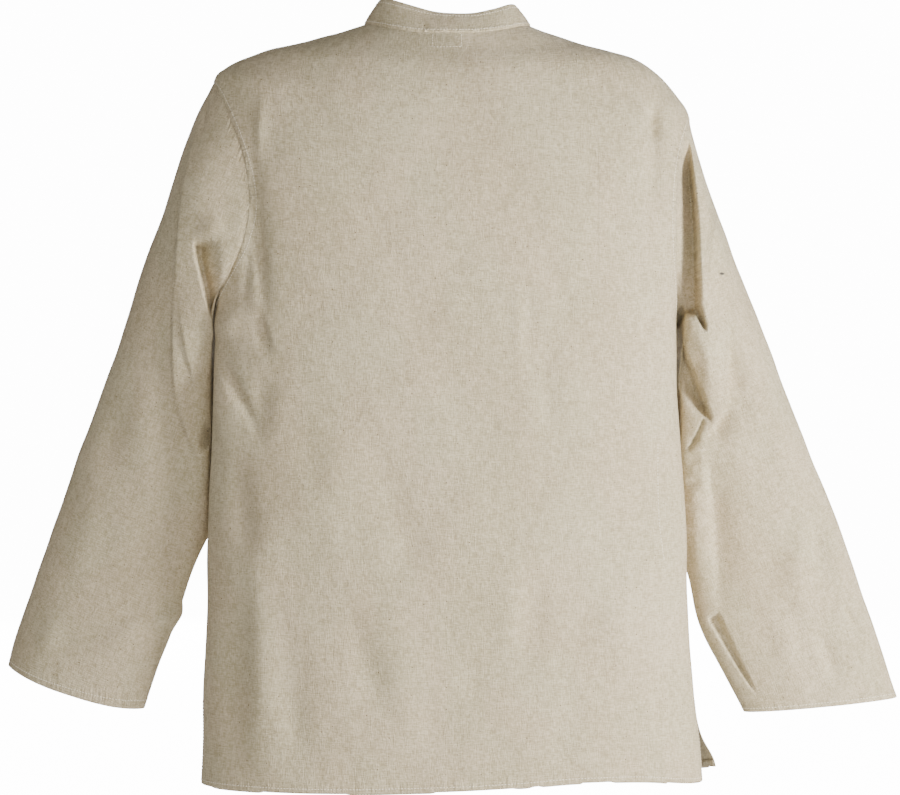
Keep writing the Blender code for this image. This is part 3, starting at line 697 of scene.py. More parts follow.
# painted shadow of the facing and the label inside, seen through the cloth
facing_x = (back_x - FACING_PLACE[0]) / FACING_SIZE[0]
facing_z = (back_z - FACING_PLACE[1]) / FACING_SIZE[1]
in_label = smoothstep(LABEL_RIGHT, LABEL_RIGHT + 6, back_x)
in_label = in_label * smoothstep(-LABEL_LEFT, -LABEL_LEFT + 6, -back_x)
in_label = in_label * smoothstep(LABEL_FOOT, LABEL_FOOT + 5, back_z)
back_shade = FACING_SHADE * np.exp(-(facing_x**2) - facing_z**2) + LABEL_SHADE * in_label
back_marks = {"near_seam": back_near, "seam_run": back_run, "shade": back_shade}
back = lay_cloth(
    "back_panel", back_points, back_out, grain_of(back_points, BACK_COLUMNS // 2), back_marks,
    woven_cotton("cotton_back", BACK_CREASE_SHADE), cut_off=back_cut,
)
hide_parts("back")
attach(back, "root")


# The front panel
# One piece of the same cotton, cut lower at the neck, with a slot down from it under the placket
# bands. The photo doesn't show it, so its folds are like the back's.
FRONT_HALF_COLUMNS = 76
PLACKET_X = (14 * MM, 11 * MM, 5 * MM, -5 * MM, -11 * MM, -14 * MM)


def turn_at(x, ring):
    """How far round from the left side the body's ring is x from the middle."""
    row = along(BODY_RINGS, ring)
    half_width = np.where(x > 0, row[..., 0], row[..., 2]) * MM
    share = np.clip(np.abs(x) / half_width, 1e-6, 1)
    turn = np.arctan((share ** -row[..., 6] - 1) ** (1 / row[..., 6]))
    return np.where(x > 0, turn, math.pi - turn)


def front_columns(rings):
    """How far round the front panel's columns are in each row, with six across the placket."""
    across = np.array(PLACKET_X)[None, :] * np.ones(rings.shape)[:, None]
    band = turn_at(across, rings[:, None] * np.ones(across.shape))
    half = np.linspace(0, 1, FRONT_HALF_COLUMNS + 1)
    right_half = band[:, -1:] + (math.pi - band[:, -1:]) * half
    return np.concatenate([band[:, :1] * half, band[:, 1:-1], right_half], axis=1)


front_points, front_out, _, front_cut = panel("front", front_columns)
front_near, front_run = panel_marks("front", front_points, panel_rings)
front_marks = {"near_seam": front_near, "seam_run": front_run, "shade": np.zeros(front_near.shape)}
slot_row = int(np.argmin(np.abs(panel_rings - UNDERARM)))
band_first = FRONT_HALF_COLUMNS
band_last = band_first + len(PLACKET_X) - 1
front_cut[slot_row:, band_first + 1 : band_last] = True
front = lay_cloth(
    "front_panel", front_points, front_out, grain_of(front_points, band_first + 2), front_marks,
    woven_cotton("cotton_front"), cut_off=front_cut,
)
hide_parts("front")
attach(front, "root")


# The sleeves
# Two tubes of the same cotton, each seamed under the arm and set into its armhole. They hang empty,
# flattened front to back, and their slack folds in between the arm and the body.
SleeveRing = namedtuple("SleeveRing", "out_x out_z in_x in_z depth middle_y square drop")
SLEEVE_RINGS = {
    "left": (
        SleeveRing(233, -43, 231, -265, 150, -4, 2.1, 0),
        SleeveRing(257, -90, 234, -279, 134, -10, 2.4, 0),
        SleeveRing(279, -149, 232, -306, 114, -21, 2.7, 0),
        SleeveRing(307, -227, 230, -346, 92, -30, 2.7, 0),
        SleeveRing(332, -298, 229, -392, 78, -34, 2.6, 2),
        SleeveRing(357, -363, 230, -438, 68, -36, 2.4, 3),
        SleeveRing(382, -431, 236, -485, 62, -37, 2.0, 4),
        SleeveRing(404, -493, 255, -528, 57, -38, 2.0, 5),
        SleeveRing(423, -549, 268, -567, 54, -38, 2.0, 6),
        SleeveRing(438, -593, 283, -608, 52, -38, 2.0, 8),
        SleeveRing(449, -631, 306, -672, 50, -38, 2.0, 7),
    ),
    "right": (
        SleeveRing(243, -80, 229, -285, 132, -15, 2.1, 0),
        SleeveRing(253, -119, 233, -299, 126, -15, 2.1, 0),
        SleeveRing(273, -174, 231, -332, 114, -19, 2.1, 0),
        SleeveRing(300, -240, 228, -370, 96, -27, 2.0, 0),
        SleeveRing(325, -303, 228, -413, 80, -32, 2.0, 0),
        SleeveRing(350, -367, 229, -458, 68, -35, 2.0, 0),
        SleeveRing(375, -428, 233, -501, 60, -37, 2.0, 0),
        SleeveRing(398, -487, 246, -542, 55, -38, 2.0, 0),
        SleeveRing(418, -543, 256, -586, 52, -38, 2.0, 0),
        SleeveRing(437, -599, 276, -625, 50, -38, 2.0, 0),
        SleeveRing(457, -662, 302, -677, 48, -38, 2.0, 0),
    ),
}
SLEEVE_FOLDS = {
    ("left", "back"): (
        # from the shoulder tip down the arm, and the pocket behind it
        Fold(243, -60, 266, -275, 0, 3.5, 40, 7.0, 0.55),
        Fold(245, -70, 268, -310, 0, 17, 42, 6.5, 0.65),
        Fold(237, -48, 241, -110, 0, 2.5, 2.5, -2.2, 0.40),
        Fold(229, -44, 232, -66, -1, 3, 3, -2.5, 0.50),
        Fold(265, -240, 266, -392, 3, 3, 26, 6.5, 0.50),
        Fold(266, -250, 266, -405, 3, 14, 28, 5, 0.55),
        Fold(267, -352, 236, -440, 5, 3, 14, 6.5, 0.45),
        Fold(262, -256, 243, -380, 0, 3, 15, 4.5, 0.50),
        # the hollow under the arm and the small fold over it
        Fold(242, -195, 210, -192, 0, 4, 14, 3.5, 0.55),
        Fold(222, -292, 238, -300, 0, 9, 9, 3, 0.5),
        # the arm and the cuff
        Fold(292, -290, 303, -470, 5, 18, 16, 3.5, 0.5),
        Fold(330, -330, 350, -480, 0, 16, 18, -2, 0.5),
        Fold(306, -470, 312, -560, 0, 14, 14, -2, 0.5),
        Fold(350, -420, 385, -560, -6, 16, 14, 2, 0.5),
        Fold(262, -562, 303, -592, 0, 3.5, 14, 6.5, 0.35),
        Fold(284, -579, 366, -622, 3, 12, 20, 5, 0.40),
        Fold(380, -560, 420, -630, 0, 12, 14, 2, 0.6),
    ),
    ("left", "front"): (
        Fold(246, -100, 262, -300, 6, 14, 6, -9, 0.45),
        Fold(262, -300, 270, -400, 0, 5, 16, -7, 0.45),
        Fold(272, -330, 330, -372, 4, 12, 5, -4, 0.40),
        Fold(262, -410, 335, -470, 0, 12, 7, -4.5, 0.35),
        Fold(300, -260, 318, -420, 5, 18, 16, 3, 0.5),
        Fold(340, -430, 382, -560, 5, 14, 16, -2.5, 0.5),
        Fold(285, -540, 350, -590, 0, 9, 6, -3.5, 0.35),
        Fold(390, -520, 425, -625, 0, 12, 14, 2, 0.5),
    ),
    ("right", "back"): (
        # the pointed fold below the deep hollow
        Fold(-244, -268, -268, -394, -3, 9, 18, 12, 0.35),
        Fold(-284, -262, -282, -384, 0, 2.5, 10, -9, 0.62),
        Fold(-286, -350, -254, -406, -5, 2.5, 13, -10, 0.50),
        # down the inside of the arm
        Fold(-258, -386, -278, -602, -2, 5, 19, -8.5, 0.35),
        Fold(-246, -410, -264, -590, 2, 8, 8, 4.5, 0.40),
        Fold(-236, -400, -258, -402, 0, 4, 4, -3.2, 0.5),
        Fold(-236, -420, -259, -423, 0, 4, 5, -2.8, 0.5),
        Fold(-237, -441, -260, -443, 0, 5, 4, -3.2, 0.5),
        Fold(-238, -466, -262, -470, 0, 5, 5, -2.6, 0.5),
        Fold(-240, -490, -264, -493, 0, 5, 4, -3.0, 0.5),
        # down the back of the arm
        Fold(-257, -165, -273, -228, 0, 5, 3, 3.0, 0.5),
        Fold(-277, -246, -298, -330, 0, 6, 4, 3.0, 0.5),
        Fold(-286, -290, -302, -408, 0, 8, 10, -4.5, 0.5),
        Fold(-320, -330, -352, -470, 0, 14, 14, 3.5, 0.5),
        Fold(-366, -455, -386, -560, 0, 9, 12, -5.5, 0.5),
        Fold(-346, -470, -362, -600, 0, 12, 12, 3.2, 0.5),
        Fold(-370, -580, -398, -654, 0, 8, 10, -5, 0.5),
        Fold(-330, -560, -350, -650, 0, 14, 12, 3, 0.5),
        # near the cuff
        Fold(-396, -560, -423, -602, 0, 3, 3.5, -5.5, 0.40),
        Fold(-390, -558, -410, -575, 0, 4, 4, 2.5, 0.5),
    ),
    ("right", "front"): (
        Fold(-246, -120, -262, -310, -6, 6, 14, -9, 0.45),
        Fold(-262, -310, -268, -410, 0, 16, 5, -7, 0.45),
        Fold(-272, -340, -326, -388, 4, 5, 12, -4, 0.40),
        Fold(-262, -430, -330, -490, 0, 7, 12, -4.5, 0.35),
        Fold(-298, -270, -322, -430, 5, 16, 18, 3, 0.5),
        Fold(-346, -440, -386, -570, 5, 16, 14, -2.5, 0.5),
        Fold(-290, -560, -352, -612, 0, 6, 9, -3.5, 0.35),
        Fold(-392, -530, -432, -640, 0, 14, 12, 2, 0.5),
    ),
}
# A hollow is cloth drawn deep in under the arm, straight towards the shirt's middle, between walls
# that are steeper than a fold's. left and right are its widths at their widest, and top, middle and
# foot the share of them that it has there; top_fade and foot_fade are how long its ends are.
Hollow = namedtuple("Hollow", "x0 z0 x1 z1 bow left right top middle foot depth top_fade foot_fade")
SLEEVE_HOLLOWS = {
    ("left", "back"): (
        Hollow(240, -205, 230, -300, -1, 2.5, 13, 0.9, 0.75, 0.2, 24, 5, 30),
        Hollow(243, -206, 218, -205, 0, 9, 1.6, 1.0, 0.9, 0.5, 8, 4, 16),
        Hollow(238, -380, 244, -412, 0, 6, 6, 0.3, 0.9, 0.5, 12, 12, 12),
    ),
    ("left", "front"): (Hollow(236, -190, 232, -290, 0, 7, 7, 1.0, 0.8, 0.4, 16, 20, 25),),
    ("right", "back"): (
        Hollow(-238, -96, -246, -279, -1, 15, 3.2, 0.7, 0.95, 1.2, 34, 48, 9),
        Hollow(-240, -262, -223, -297, 0, 7, 3, 1.2, 0.8, 0.3, 27, 10, 5),
        Hollow(-245, -258, -254, -291, 0, 4, 2.5, 1.2, 1.0, 0.4, 30, 14, 8),
        Hollow(-226, -294, -266, -383, 0, 16, 2.6, 0.7, 1.0, 0.2, 28, 5, 22),
        Hollow(-222, -305, -231, -410, 0, 5, 6, 0.5, 1.0, 0.5, 30, 8, 20),
        Hollow(-257, -376, -240, -412, -2, 1.8, 2.2, 1.0, 1.0, 1.0, 6, 6, 10),
        Hollow(-269, -576, -314, -660, 0, 6, 4, 1.0, 0.6, 0.2, 10, 6, 34),
    ),
    ("right", "front"): (Hollow(-238, -180, -234, -300, 0, 7, 7, 0.8, 1.0, 0.6, 18, 22, 25),),
}
# a hollow's wall that is wider than this is a soft slope
SOFT_WALL = 8
# how far forward each sleeve's outer edge is turned, to its width
SLEEVE_TURN = {"left": 0.17, "right": 0.0}
SLEEVE_SETTLE = 2.6
SLEEVE_SETTLE_CURVE = 1.5
SLEEVE_CLEAR = 2.0 * MM
SLEEVE_PRESS = 3.0 * MM
DROP_CURVE = 3
FOLDS_START = 0.22
SLEEVE_ROWS, SLEEVE_COLUMNS = 172, 220
SEAM_TUCK = 3.0 * MM
SEAM_SUNK = 0.35 * MM
ARMHOLE_PUCKERS, CUFF_PUCKERS = 0.9, 0.6
# the small blue-black fleck on the right arm, a real stain, and two faint lines of painted shade straight
# across it where it was pressed into creases
SLEEVE_SPOTS = {
    "left": (),
    "right": (
        Spot((-0.272, 0.03, -0.235), (0.0030, 0.08, 0.0014), (0.15, 0.16, 0.22, 1)),
        # two faint lines of painted shade where the arm was pressed into creases
        Spot((-0.325, 0.03, -0.431), (0.055, 0.08, 0.0009), (0.90, 0.89, 0.87, 1)),
        Spot((-0.345, 0.03, -0.547), (0.050, 0.08, 0.0009), (0.93, 0.92, 0.90, 1)),
    ),
}


def sleeve_oval(side, angle, ring):
    """A point of the sleeve's oval at a place between its rings."""
    row = np.moveaxis(along(SLEEVE_RINGS[side], ring), -1, 0)
    out_x, out_z, in_x, in_z, depth, middle_y, square, drop = row
    across, deep = np.cos(angle), np.sin(angle)
    swell = (np.abs(across) ** square + np.abs(deep) ** square) ** (-1 / square)
    share = (1 + across * swell) / 2
    x = (in_x + (out_x - in_x) * share) * SIDE_SIGN[side]
    y = middle_y + depth / 2 * deep * swell - SLEEVE_TURN[side] * (share - 0.5) * (out_x - in_x)
    z = in_z + (out_z - in_z) * share - drop * (1 - np.abs(across * swell) ** DROP_CURVE)
    return np.stack([x, y, z], -1) * MM


def sleeve_plain(side):
    """The sleeve's outside before its folds, as a function of an angle and a ring."""
    turns = np.linspace(0, 2 * math.pi, 1441)
    seam, out = armhole(side, turns)
    bends = seam - out * SEAM_SUNK - sleeve_oval(side, turns, np.zeros(turns.shape))

    def surface(angle, ring):
        turn = np.mod(angle, 2 * math.pi)
        bend = np.stack([np.interp(turn, turns, bends[:, axis]) for axis in range(3)], -1)
        left_of_it = (1 - np.clip(ring / SLEEVE_SETTLE, 0, 1)) ** SLEEVE_SETTLE_CURVE
        return sleeve_oval(side, angle, ring) + bend * left_of_it[..., None]

    return surface


def hollow_depth(hollows, points, seen):
    """How far the hollows draw each point in towards the shirt's middle, in metres."""
    x, z = points[..., 0] / MM, points[..., 2] / MM
    depth = np.zeros(x.shape)
    for hollow in hollows:
        run = np.array([hollow.x1 - hollow.x0, hollow.z1 - hollow.z0], float)
        length = np.linalg.norm(run)
        run /= length
        down = (x - hollow.x0) * run[0] + (z - hollow.z0) * run[1]
        share = np.clip(down / length, 0, 1)
        aside = (z - hollow.z0) * run[0] - (x - hollow.x0) * run[1]
        aside = aside - hollow.bow * 4 * share * (1 - share)
        width = np.interp(share, [0, 0.5, 1], [hollow.top, hollow.middle, hollow.foot])
        reach = np.where(aside < 0, hollow.right, hollow.left)
        wall = np.exp(-np.abs(aside / (width * reach)) ** np.where(reach > SOFT_WALL, 2, 3.5))
        ends = smoothstep(0, hollow.top_fade, down) * smoothstep(0, hollow.foot_fade, length - down)
        depth = np.maximum(depth, hollow.depth * wall * ends)
    return depth * smoothstep(0, FACE_FADE, seen) * MM


def press_to_body(side, points, ring):
    """Keeps the sleeve's points clear of the body's side, where the sleeve lies flat against it."""
    sign = SIDE_SIGN[side]
    rows = np.array(BODY_RINGS, float)[: UNDERARM + 1]
    place = np.interp(points[..., 2] / MM, rows[:, 1 if sign > 0 else 3], np.arange(len(rows)))
    row = np.moveaxis(along(BODY_RINGS, place), -1, 0)
    half_width, square = row[0 if sign > 0 else 2], row[6]
    deep = np.abs(points[..., 1]) / MM / np.where(points[..., 1] > 0, row[4], row[5])
    body_x = half_width * (1 - np.minimum(deep, 1) ** square) ** (1 / square) * MM
    seam_fade = smoothstep(0, 0.7, ring)
    inside = body_x + SLEEVE_CLEAR * seam_fade - points[..., 0] * sign
    soft = SLEEVE_PRESS * seam_fade
    push = (inside + np.sqrt(inside**2 + soft**2)) / 2 * seam_fade
    pressed = points.copy()
    pressed[..., 0] += push * sign
    return pressed


def sleeve_surface(side):
    """The sleeve's outside, folds and all."""
    plain = sleeve_plain(side)

    def surface(angle, ring):
        points = plain(angle, ring)
        out = normals(plain, angle, ring) * -SIDE_SIGN[side]
        lift = fold_height(SLEEVE_FOLDS[side, "back"], points, out[..., 1])
        lift += fold_height(SLEEVE_FOLDS[side, "front"], points, -out[..., 1])
        lift += unevenness(points)
        drawn_in = np.zeros(points.shape)
        for face in FACE_SIGN:
            seen = out[..., 1] * FACE_SIGN[face]
            drawn_in[..., 1] -= FACE_SIGN[face] * hollow_depth(SLEEVE_HOLLOWS[side, face], points, seen)
        moved = (out * lift[..., None] + drawn_in) * smoothstep(0, FOLDS_START, ring)[..., None]
        return press_to_body(side, points + moved, ring)

    return surface


def make_sleeve(side):
    """One sleeve, from under the edge of its armhole to the turned-up hem at the wrist."""
    wrist = len(SLEEVE_RINGS[side]) - 1
    section = np.array(HEM_SECTION[::-1], float)
    last_ring = math.dist(SLEEVE_RINGS[side][-1][:2], SLEEVE_RINGS[side][-2][:2])
    hem = wrist - section[:, 0] / last_ring
    start = np.array([0.0, 0.02, 0.05, 0.09, 0.14, 0.20, 0.27])
    arm = np.concatenate([start, np.linspace(start[-1], hem[0], SLEEVE_ROWS + 1)[1:-1]])
    columns = math.pi + np.linspace(0, 2 * math.pi, SLEEVE_COLUMNS + 1)
    columns[-1] = columns[0]

    # the surface and its normals down to the wrist, and then the rows that the turned-up hem needs
    smooth_rings = np.concatenate([arm, np.unique(hem)])
    points = sleeve_surface(side)(*np.meshgrid(columns, smooth_rings))
    looped = np.concatenate([points[:, -2:-1], points, points[:, 1:2]], axis=1)
    round_it = (looped[:, 2:] - looped[:, :-2]) * SIDE_SIGN[side]
    out = unit(np.cross(np.gradient(points, axis=0), round_it))
    rings = np.concatenate([arm, hem])
    turned = np.concatenate([np.zeros(len(arm)), np.radians(section[:, 1])])
    rows = np.searchsorted(smooth_rings, rings)
    points, out = points[rows], out[rows]
    points = points - out * (HEM_FOLD * (1 - np.cos(turned)))[:, None, None]

    seam, seam_out = armhole(side, columns)
    seam_run = armhole(side, columns + STEP)[0] - armhole(side, columns - STEP)[0]
    across = unit(np.cross(seam_run, seam_out)) * SIDE_SIGN[side]
    tucked = seam - across * SEAM_TUCK - seam_out * (SEAM_SUNK + CLOTH_WALL)
    points = np.concatenate([tucked[None], points])
    out = np.concatenate([seam_out[None], out])

    down = run_along(points, 0)
    round_it = run_along(points, 1)
    near_armhole = ARMHOLE_PUCKERS * np.exp(-((down / (1.6 * SEAM_REACH)) ** 2))
    from_hem = np.abs(np.append(0.0, wrist - rings) * last_ring * MM - HEM_STITCH)
    near_hem = (CUFF_PUCKERS * np.exp(-((from_hem / SEAM_REACH) ** 2)))[:, None] * np.ones(down.shape)
    marks = {
        "near_seam": np.maximum(near_armhole, near_hem),
        "seam_run": round_it,
        "shade": np.zeros(down.shape),
    }
    # the threads run straight down the arm and square across it, round its outer edge
    first, last = SLEEVE_RINGS[side][3], SLEEVE_RINGS[side][-1]
    arm_way = unit(np.array([(last.out_x - first.out_x) * SIDE_SIGN[side], 0, last.out_z - first.out_z]))
    square_way = np.cross(arm_way, [0, 1, 0]) * SIDE_SIGN[side]
    outward, deep = points @ square_way, points[..., 1]
    outer, in_front, behind = SLEEVE_COLUMNS // 2, SLEEVE_COLUMNS // 4, SLEEVE_COLUMNS * 3 // 4
    front_depth, back_depth = deep[:, in_front, None], deep[:, behind, None]
    edge = outward[:, outer, None] + (back_depth - front_depth) / 2
    across_back = outward + np.cos(columns) * (back_depth - deep)
    across_front = 2 * edge - outward - np.cos(columns) * (deep - front_depth)
    across_arm = np.where(np.arange(len(columns)) < outer, across_front, across_back)
    grain = np.stack([across_arm, -(points @ arm_way)], -1)
    material = woven_cotton("cotton_sleeve_" + side, spots=SLEEVE_SPOTS[side])
    made = lay_cloth("sleeve_cloth_" + side, points, out, grain, marks, material, tube=True)
    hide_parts("sleeve_" + side)
    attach(made, "root")
    return made, points, out


sleeves = {side: make_sleeve(side) for side in SIDE_SIGN}


# The stand collar
# A band of the cotton folded double along its top edge, standing round the neck and open at the
# front, with its lower edges closed over the neck seam. It has slumped unevenly.
CollarPoint = namedtuple("CollarPoint", "left_rise right_rise lean")
# every 30 degrees, from the middle of the back round to the front opening
COLLAR_TURN = 30
COLLAR_POINTS = (
    CollarPoint(20, 20, 15),
    CollarPoint(24, 19, 13),
    CollarPoint(26, 21, 11),
    CollarPoint(21, 19, 14),
    CollarPoint(24, 23.5, 11),
    CollarPoint(25.5, 25.5, 8.5),
    CollarPoint(26, 26, 7),
)
COLLAR_END_GAP = 1.5 * MM
COLLAR_CORNER = 11 * MM
COLLAR_CORNER_CUT = 0.8
COLLAR_LEAN_CURVE = 1.3
COLLAR_FOLD = 1.0 * MM
COLLAR_COLUMNS, COLLAR_ROWS = 260, 14
COLLAR_OVERLAP = 0.06
COLLAR_STITCH = 2.5 * MM


def collar_surface(angle, up):
    """A point on the collar's outside. angle is as on the body, and up is 0 at the seam, 1 on top."""
    base = body(angle, np.full(np.shape(angle), float(NECK)))
    from_back = np.degrees(np.abs(angle - math.pi / 2))
    row = np.moveaxis(along(COLLAR_POINTS, from_back / COLLAR_TURN), -1, 0)
    rise = np.where(angle < math.pi / 2, row[0], row[1]) * MM
    from_end = (math.pi - np.abs(angle - math.pi / 2)) * BODY_RINGS[NECK].left_out * MM
    corner = np.clip(1 - from_end / COLLAR_CORNER, 0, 1)
    rise = rise * np.sqrt(1 - COLLAR_CORNER_CUT * corner**2)
    inward = -unit(base * np.array([1, 1, 0]))
    lean = row[2] * MM * np.maximum(up, 0) ** COLLAR_LEAN_CURVE
    return base + np.array([0, 0, 1.0]) * (rise * up)[..., None] + inward * lean[..., None]


half_gap = COLLAR_END_GAP / (BODY_RINGS[NECK].left_out * MM)
collar_angles = np.linspace(-math.pi / 2 + half_gap, 3 * math.pi / 2 - half_gap, COLLAR_COLUMNS + 1)
collar_ups = np.concatenate(
    [np.linspace(-COLLAR_OVERLAP, 1, COLLAR_ROWS + 1), [1.0, 1.0, 1.0], np.linspace(1, 0, COLLAR_ROWS + 1)]
)
collar_turns = np.concatenate(
    [np.zeros(COLLAR_ROWS + 1), np.radians([45, 90, 135]), np.full(COLLAR_ROWS + 1, math.pi)]
)
angle, up = np.meshgrid(collar_angles, collar_ups)
collar_points = collar_surface(angle, up)
collar_out = normals(collar_surface, angle, np.minimum(up, 0.99))
collar_rise = unit(collar_surface(angle, up) - collar_surface(angle, up - 0.05))
sunk = (COLLAR_FOLD * (1 - np.cos(collar_turns)) - 0.9 * MM)[:, None, None]
over_top = (COLLAR_FOLD * np.sin(collar_turns))[:, None, None]
collar_points = collar_points - collar_out * sunk + collar_rise * over_top
collar_facing = np.where(collar_turns[:, None, None] > math.pi / 2, -collar_out, collar_out)
collar_height = run_along(collar_points, 0)
collar_near = 0.5 * np.exp(-(((collar_height - COLLAR_STITCH) / (3 * MM)) ** 2))
collar_marks = {
    "near_seam": collar_near,
    "seam_run": run_along(collar_points, 1),
    "shade": np.full(collar_near.shape, 0.02),
}
collar = lay_cloth(
    "stand_collar", collar_points, collar_facing, grain_of(collar_points, COLLAR_COLUMNS // 2),
    collar_marks, woven_cotton("cotton_collar"),
)
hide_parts("collar")
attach(collar, "root")


# The placket bands
# A strip of the cotton over the front slot and one under it. They are laid on the front panel's
# own points, as the photo doesn't show them.
PLACKET_CLEAR = 0.3 * MM

band_points = front_points[slot_row - 6 :, band_first : band_last + 1]
band_out = front_out[slot_row - 6 :, band_first : band_last + 1]
bands = {}
BAND_LIFT = PLACKET_CLEAR + CLOTH_WALL
for name, lift in (("placket_over", BAND_LIFT), ("placket_under", -BAND_LIFT)):
    places = band_points + band_out * lift
    edge_run = run_along(places, 0)
    across = run_along(places, 1)
    beside = np.minimum(across, across[:, -1:] - across)
    marks = {
        "near_seam": 0.5 * np.exp(-((beside / (4 * MM)) ** 2)),
        "seam_run": edge_run,
        "shade": np.full(edge_run.shape, 0.02),
    }
    band = lay_cloth(
        name + "_cloth", places, band_out, grain_of(places, 2), marks, woven_cotton("cotton_" + name)
    )
    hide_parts(name)
    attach(band, "root")
    bands[name] = (band, places)


# The stitching
# Cream cotton thread in straight machine stitches, some 3 mm to a stitch: round the armholes, along
# the hem, cuffs, slits, collar and placket, round the label and down a short line on the back.
STITCH_PITCH = 3.1 * MM
STITCH_LENGTH = 2.5 * MM
STITCH_WIDTH = 0.95 * MM
STITCH_HEIGHT = 0.60 * MM
THREAD_COLOUR = (0.90, 0.82, 0.66, 1)
WORN_THREAD = (0.62, 0.54, 0.41, 1)
THREAD_PLIES = 900

thread = bpy.data.materials.new("cream_thread")
thread.use_nodes = True
thread_shader = thread.node_tree.nodes["Principled BSDF"]
place = thread.node_tree.nodes.new("ShaderNodeTexCoord")
noise = thread.node_tree.nodes.new("ShaderNodeTexNoise")
noise.inputs["Scale"].default_value = THREAD_PLIES
noise.inputs["Detail"].default_value = 1
thread.node_tree.links.new(place.outputs["Object"], noise.inputs["Vector"])
worn = ramped(thread.node_tree, noise.outputs["Fac"], 0.35, 0.65, 0.0, 0.35)
thread_tone = thread.node_tree.nodes.new("ShaderNodeMix")
thread_tone.data_type = "RGBA"
thread_tone.inputs["A"].default_value = THREAD_COLOUR
thread_tone.inputs["B"].default_value = WORN_THREAD
thread.node_tree.links.new(worn, thread_tone.inputs["Factor"])
thread.node_tree.links.new(thread_tone.outputs["Result"], thread_shader.inputs["Base Color"])
thread.node_tree.links.new(
    raised(thread.node_tree, noise.outputs["Fac"], 0.0003), thread_shader.inputs["Normal"]
)
thread_shader.inputs["Roughness"].default_value = 0.6
thread_shader.inputs["Sheen Weight"].default_value = 0.1


def at_distance(points, out, distance, edge=0):
    """In each row, the point and normal that far in from the first or the last column."""
    if edge:
        points, out = points[:, ::-1], out[:, ::-1]
    across = run_along(points, 1)
    places, facing = [], []
    for row in range(len(points)):
        places.append([np.interp(distance, across[row], points[row, :, axis]) for axis in range(3)])
        facing.append([np.interp(distance, across[row], out[row, :, axis]) for axis in range(3)])
    return np.array(places), unit(np.array(facing))


def sew(name, lines):
    """One object with the stitches of several lines; a line is its points and their normals."""
    mesh = bmesh.new()
    for points, out in lines:
        run = run_along(points[None], 1)[0]
        count = max(int(run[-1] / STITCH_PITCH), 1)
        middles = (np.arange(count) + 0.5) * run[-1] / count
        for middle in middles:
            ends = [
                Vector([np.interp(middle + half, run, points[:, axis]) for axis in range(3)])
                for half in (-STITCH_LENGTH / 2, STITCH_LENGTH / 2)
            ]
            up = Vector([np.interp(middle, run, out[:, axis]) for axis in range(3)]).normalized()
            ahead = (ends[1] - ends[0]).normalized()
            beside = up.cross(ahead).normalized()
            turn = Matrix((ahead, beside, ahead.cross(beside))).transposed().to_4x4()
            size = Matrix.Diagonal((STITCH_LENGTH / 2, STITCH_WIDTH / 2, STITCH_HEIGHT / 2, 1))
            place = Matrix.Translation((ends[0] + ends[1]) / 2 + up * 0.1 * MM)
            bmesh.ops.create_uvsphere(
                mesh, u_segments=6, v_segments=4, radius=1, matrix=place @ turn @ size
            )
    data = bpy.data.meshes.new(name)
    mesh.to_mesh(data)
    mesh.free()
    data.shade_smooth()
    data.materials.append(thread)
    made = bpy.data.objects.new(name, data)
    bpy.context.scene.collection.objects.link(made)
    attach(made, "root")
    return made


ARMHOLE_STITCH = 4 * MM
SLIT_STITCH = 5 * MM
# the short line of stitches at the right of the back, in millimetres
SHORT_LINE_X = (-206, -207, -212)
SHORT_LINE_Z = (-402, -480, -516)

hem_heights = np.array(HEM_SECTION)[8:, 0]
hem_row = int(np.argmin(np.abs(hem_heights - HEM_STITCH / MM))) + 8
slit_rows = slice(9, int(np.argmin(np.abs(panel_rings - SLIT_HEIGHT / MM / HEM_RING_HEIGHT))))


def panel_lines(face, points, out):
    """The stitched lines of a panel: its hem, its armholes and its slits."""
    lines = [(points[hem_row], out[hem_row])]
    for edge, side in enumerate(SIDE_SIGN):
        turns = np.linspace(0.04, 0.97, 260) * math.pi * FACE_SIGN[face]
        lines.append(armhole(side, turns, ARMHOLE_STITCH))
        lines.append(at_distance(points[slit_rows], out[slit_rows], SLIT_STITCH, edge))
    return lines


label_x = [LABEL_LEFT, LABEL_LEFT, LABEL_RIGHT, LABEL_RIGHT]
label_z = [LABEL_TOP, LABEL_FOOT, LABEL_FOOT, LABEL_TOP]
label_lines = [
    on_back(np.linspace(x0, x1, 12), np.linspace(z0, z1, 12))
    for x0, x1, z0, z1 in zip(label_x[:-1], label_x[1:], label_z[:-1], label_z[1:])
]
short_line = on_back(
    np.interp(np.linspace(0, 2, 60), [0, 1, 2], SHORT_LINE_X),
    np.interp(np.linspace(0, 2, 60), [0, 1, 2], SHORT_LINE_Z),
)
back_lines = panel_lines("back", back_points, back_out) + label_lines + [short_line]
back_stitches = sew("stitches_back", back_lines)
front_lines = panel_lines("front", front_points, front_out)
front_stitches = sew("stitches_front", front_lines)
for side, (_, points, out) in sleeves.items():
    cuff_row = len(points) - 1 - hem_row
    cuff_line = (points[cuff_row], out[cuff_row])
    sew("stitches_sleeve_" + side, [cuff_line])
stitch_rows = [
    int(np.argmin(np.abs(collar_height[: COLLAR_ROWS + 1, 0] - height)))
    for height in (COLLAR_STITCH, collar_height[COLLAR_ROWS, 0] - COLLAR_STITCH)
]
collar_lines = [(collar_points[row, 2:-2], collar_out[row, 2:-2]) for row in stitch_rows]
collar_stitches = sew("stitches_collar", collar_lines)
over_points = bands["placket_over"][1]
placket_lines = [at_distance(over_points[2:], band_out[2:], 2 * MM, edge) for edge in (0, -1)]
placket_lines.append((over_points[2], band_out[2]))
placket_stitches = sew("stitches_placket", placket_lines)


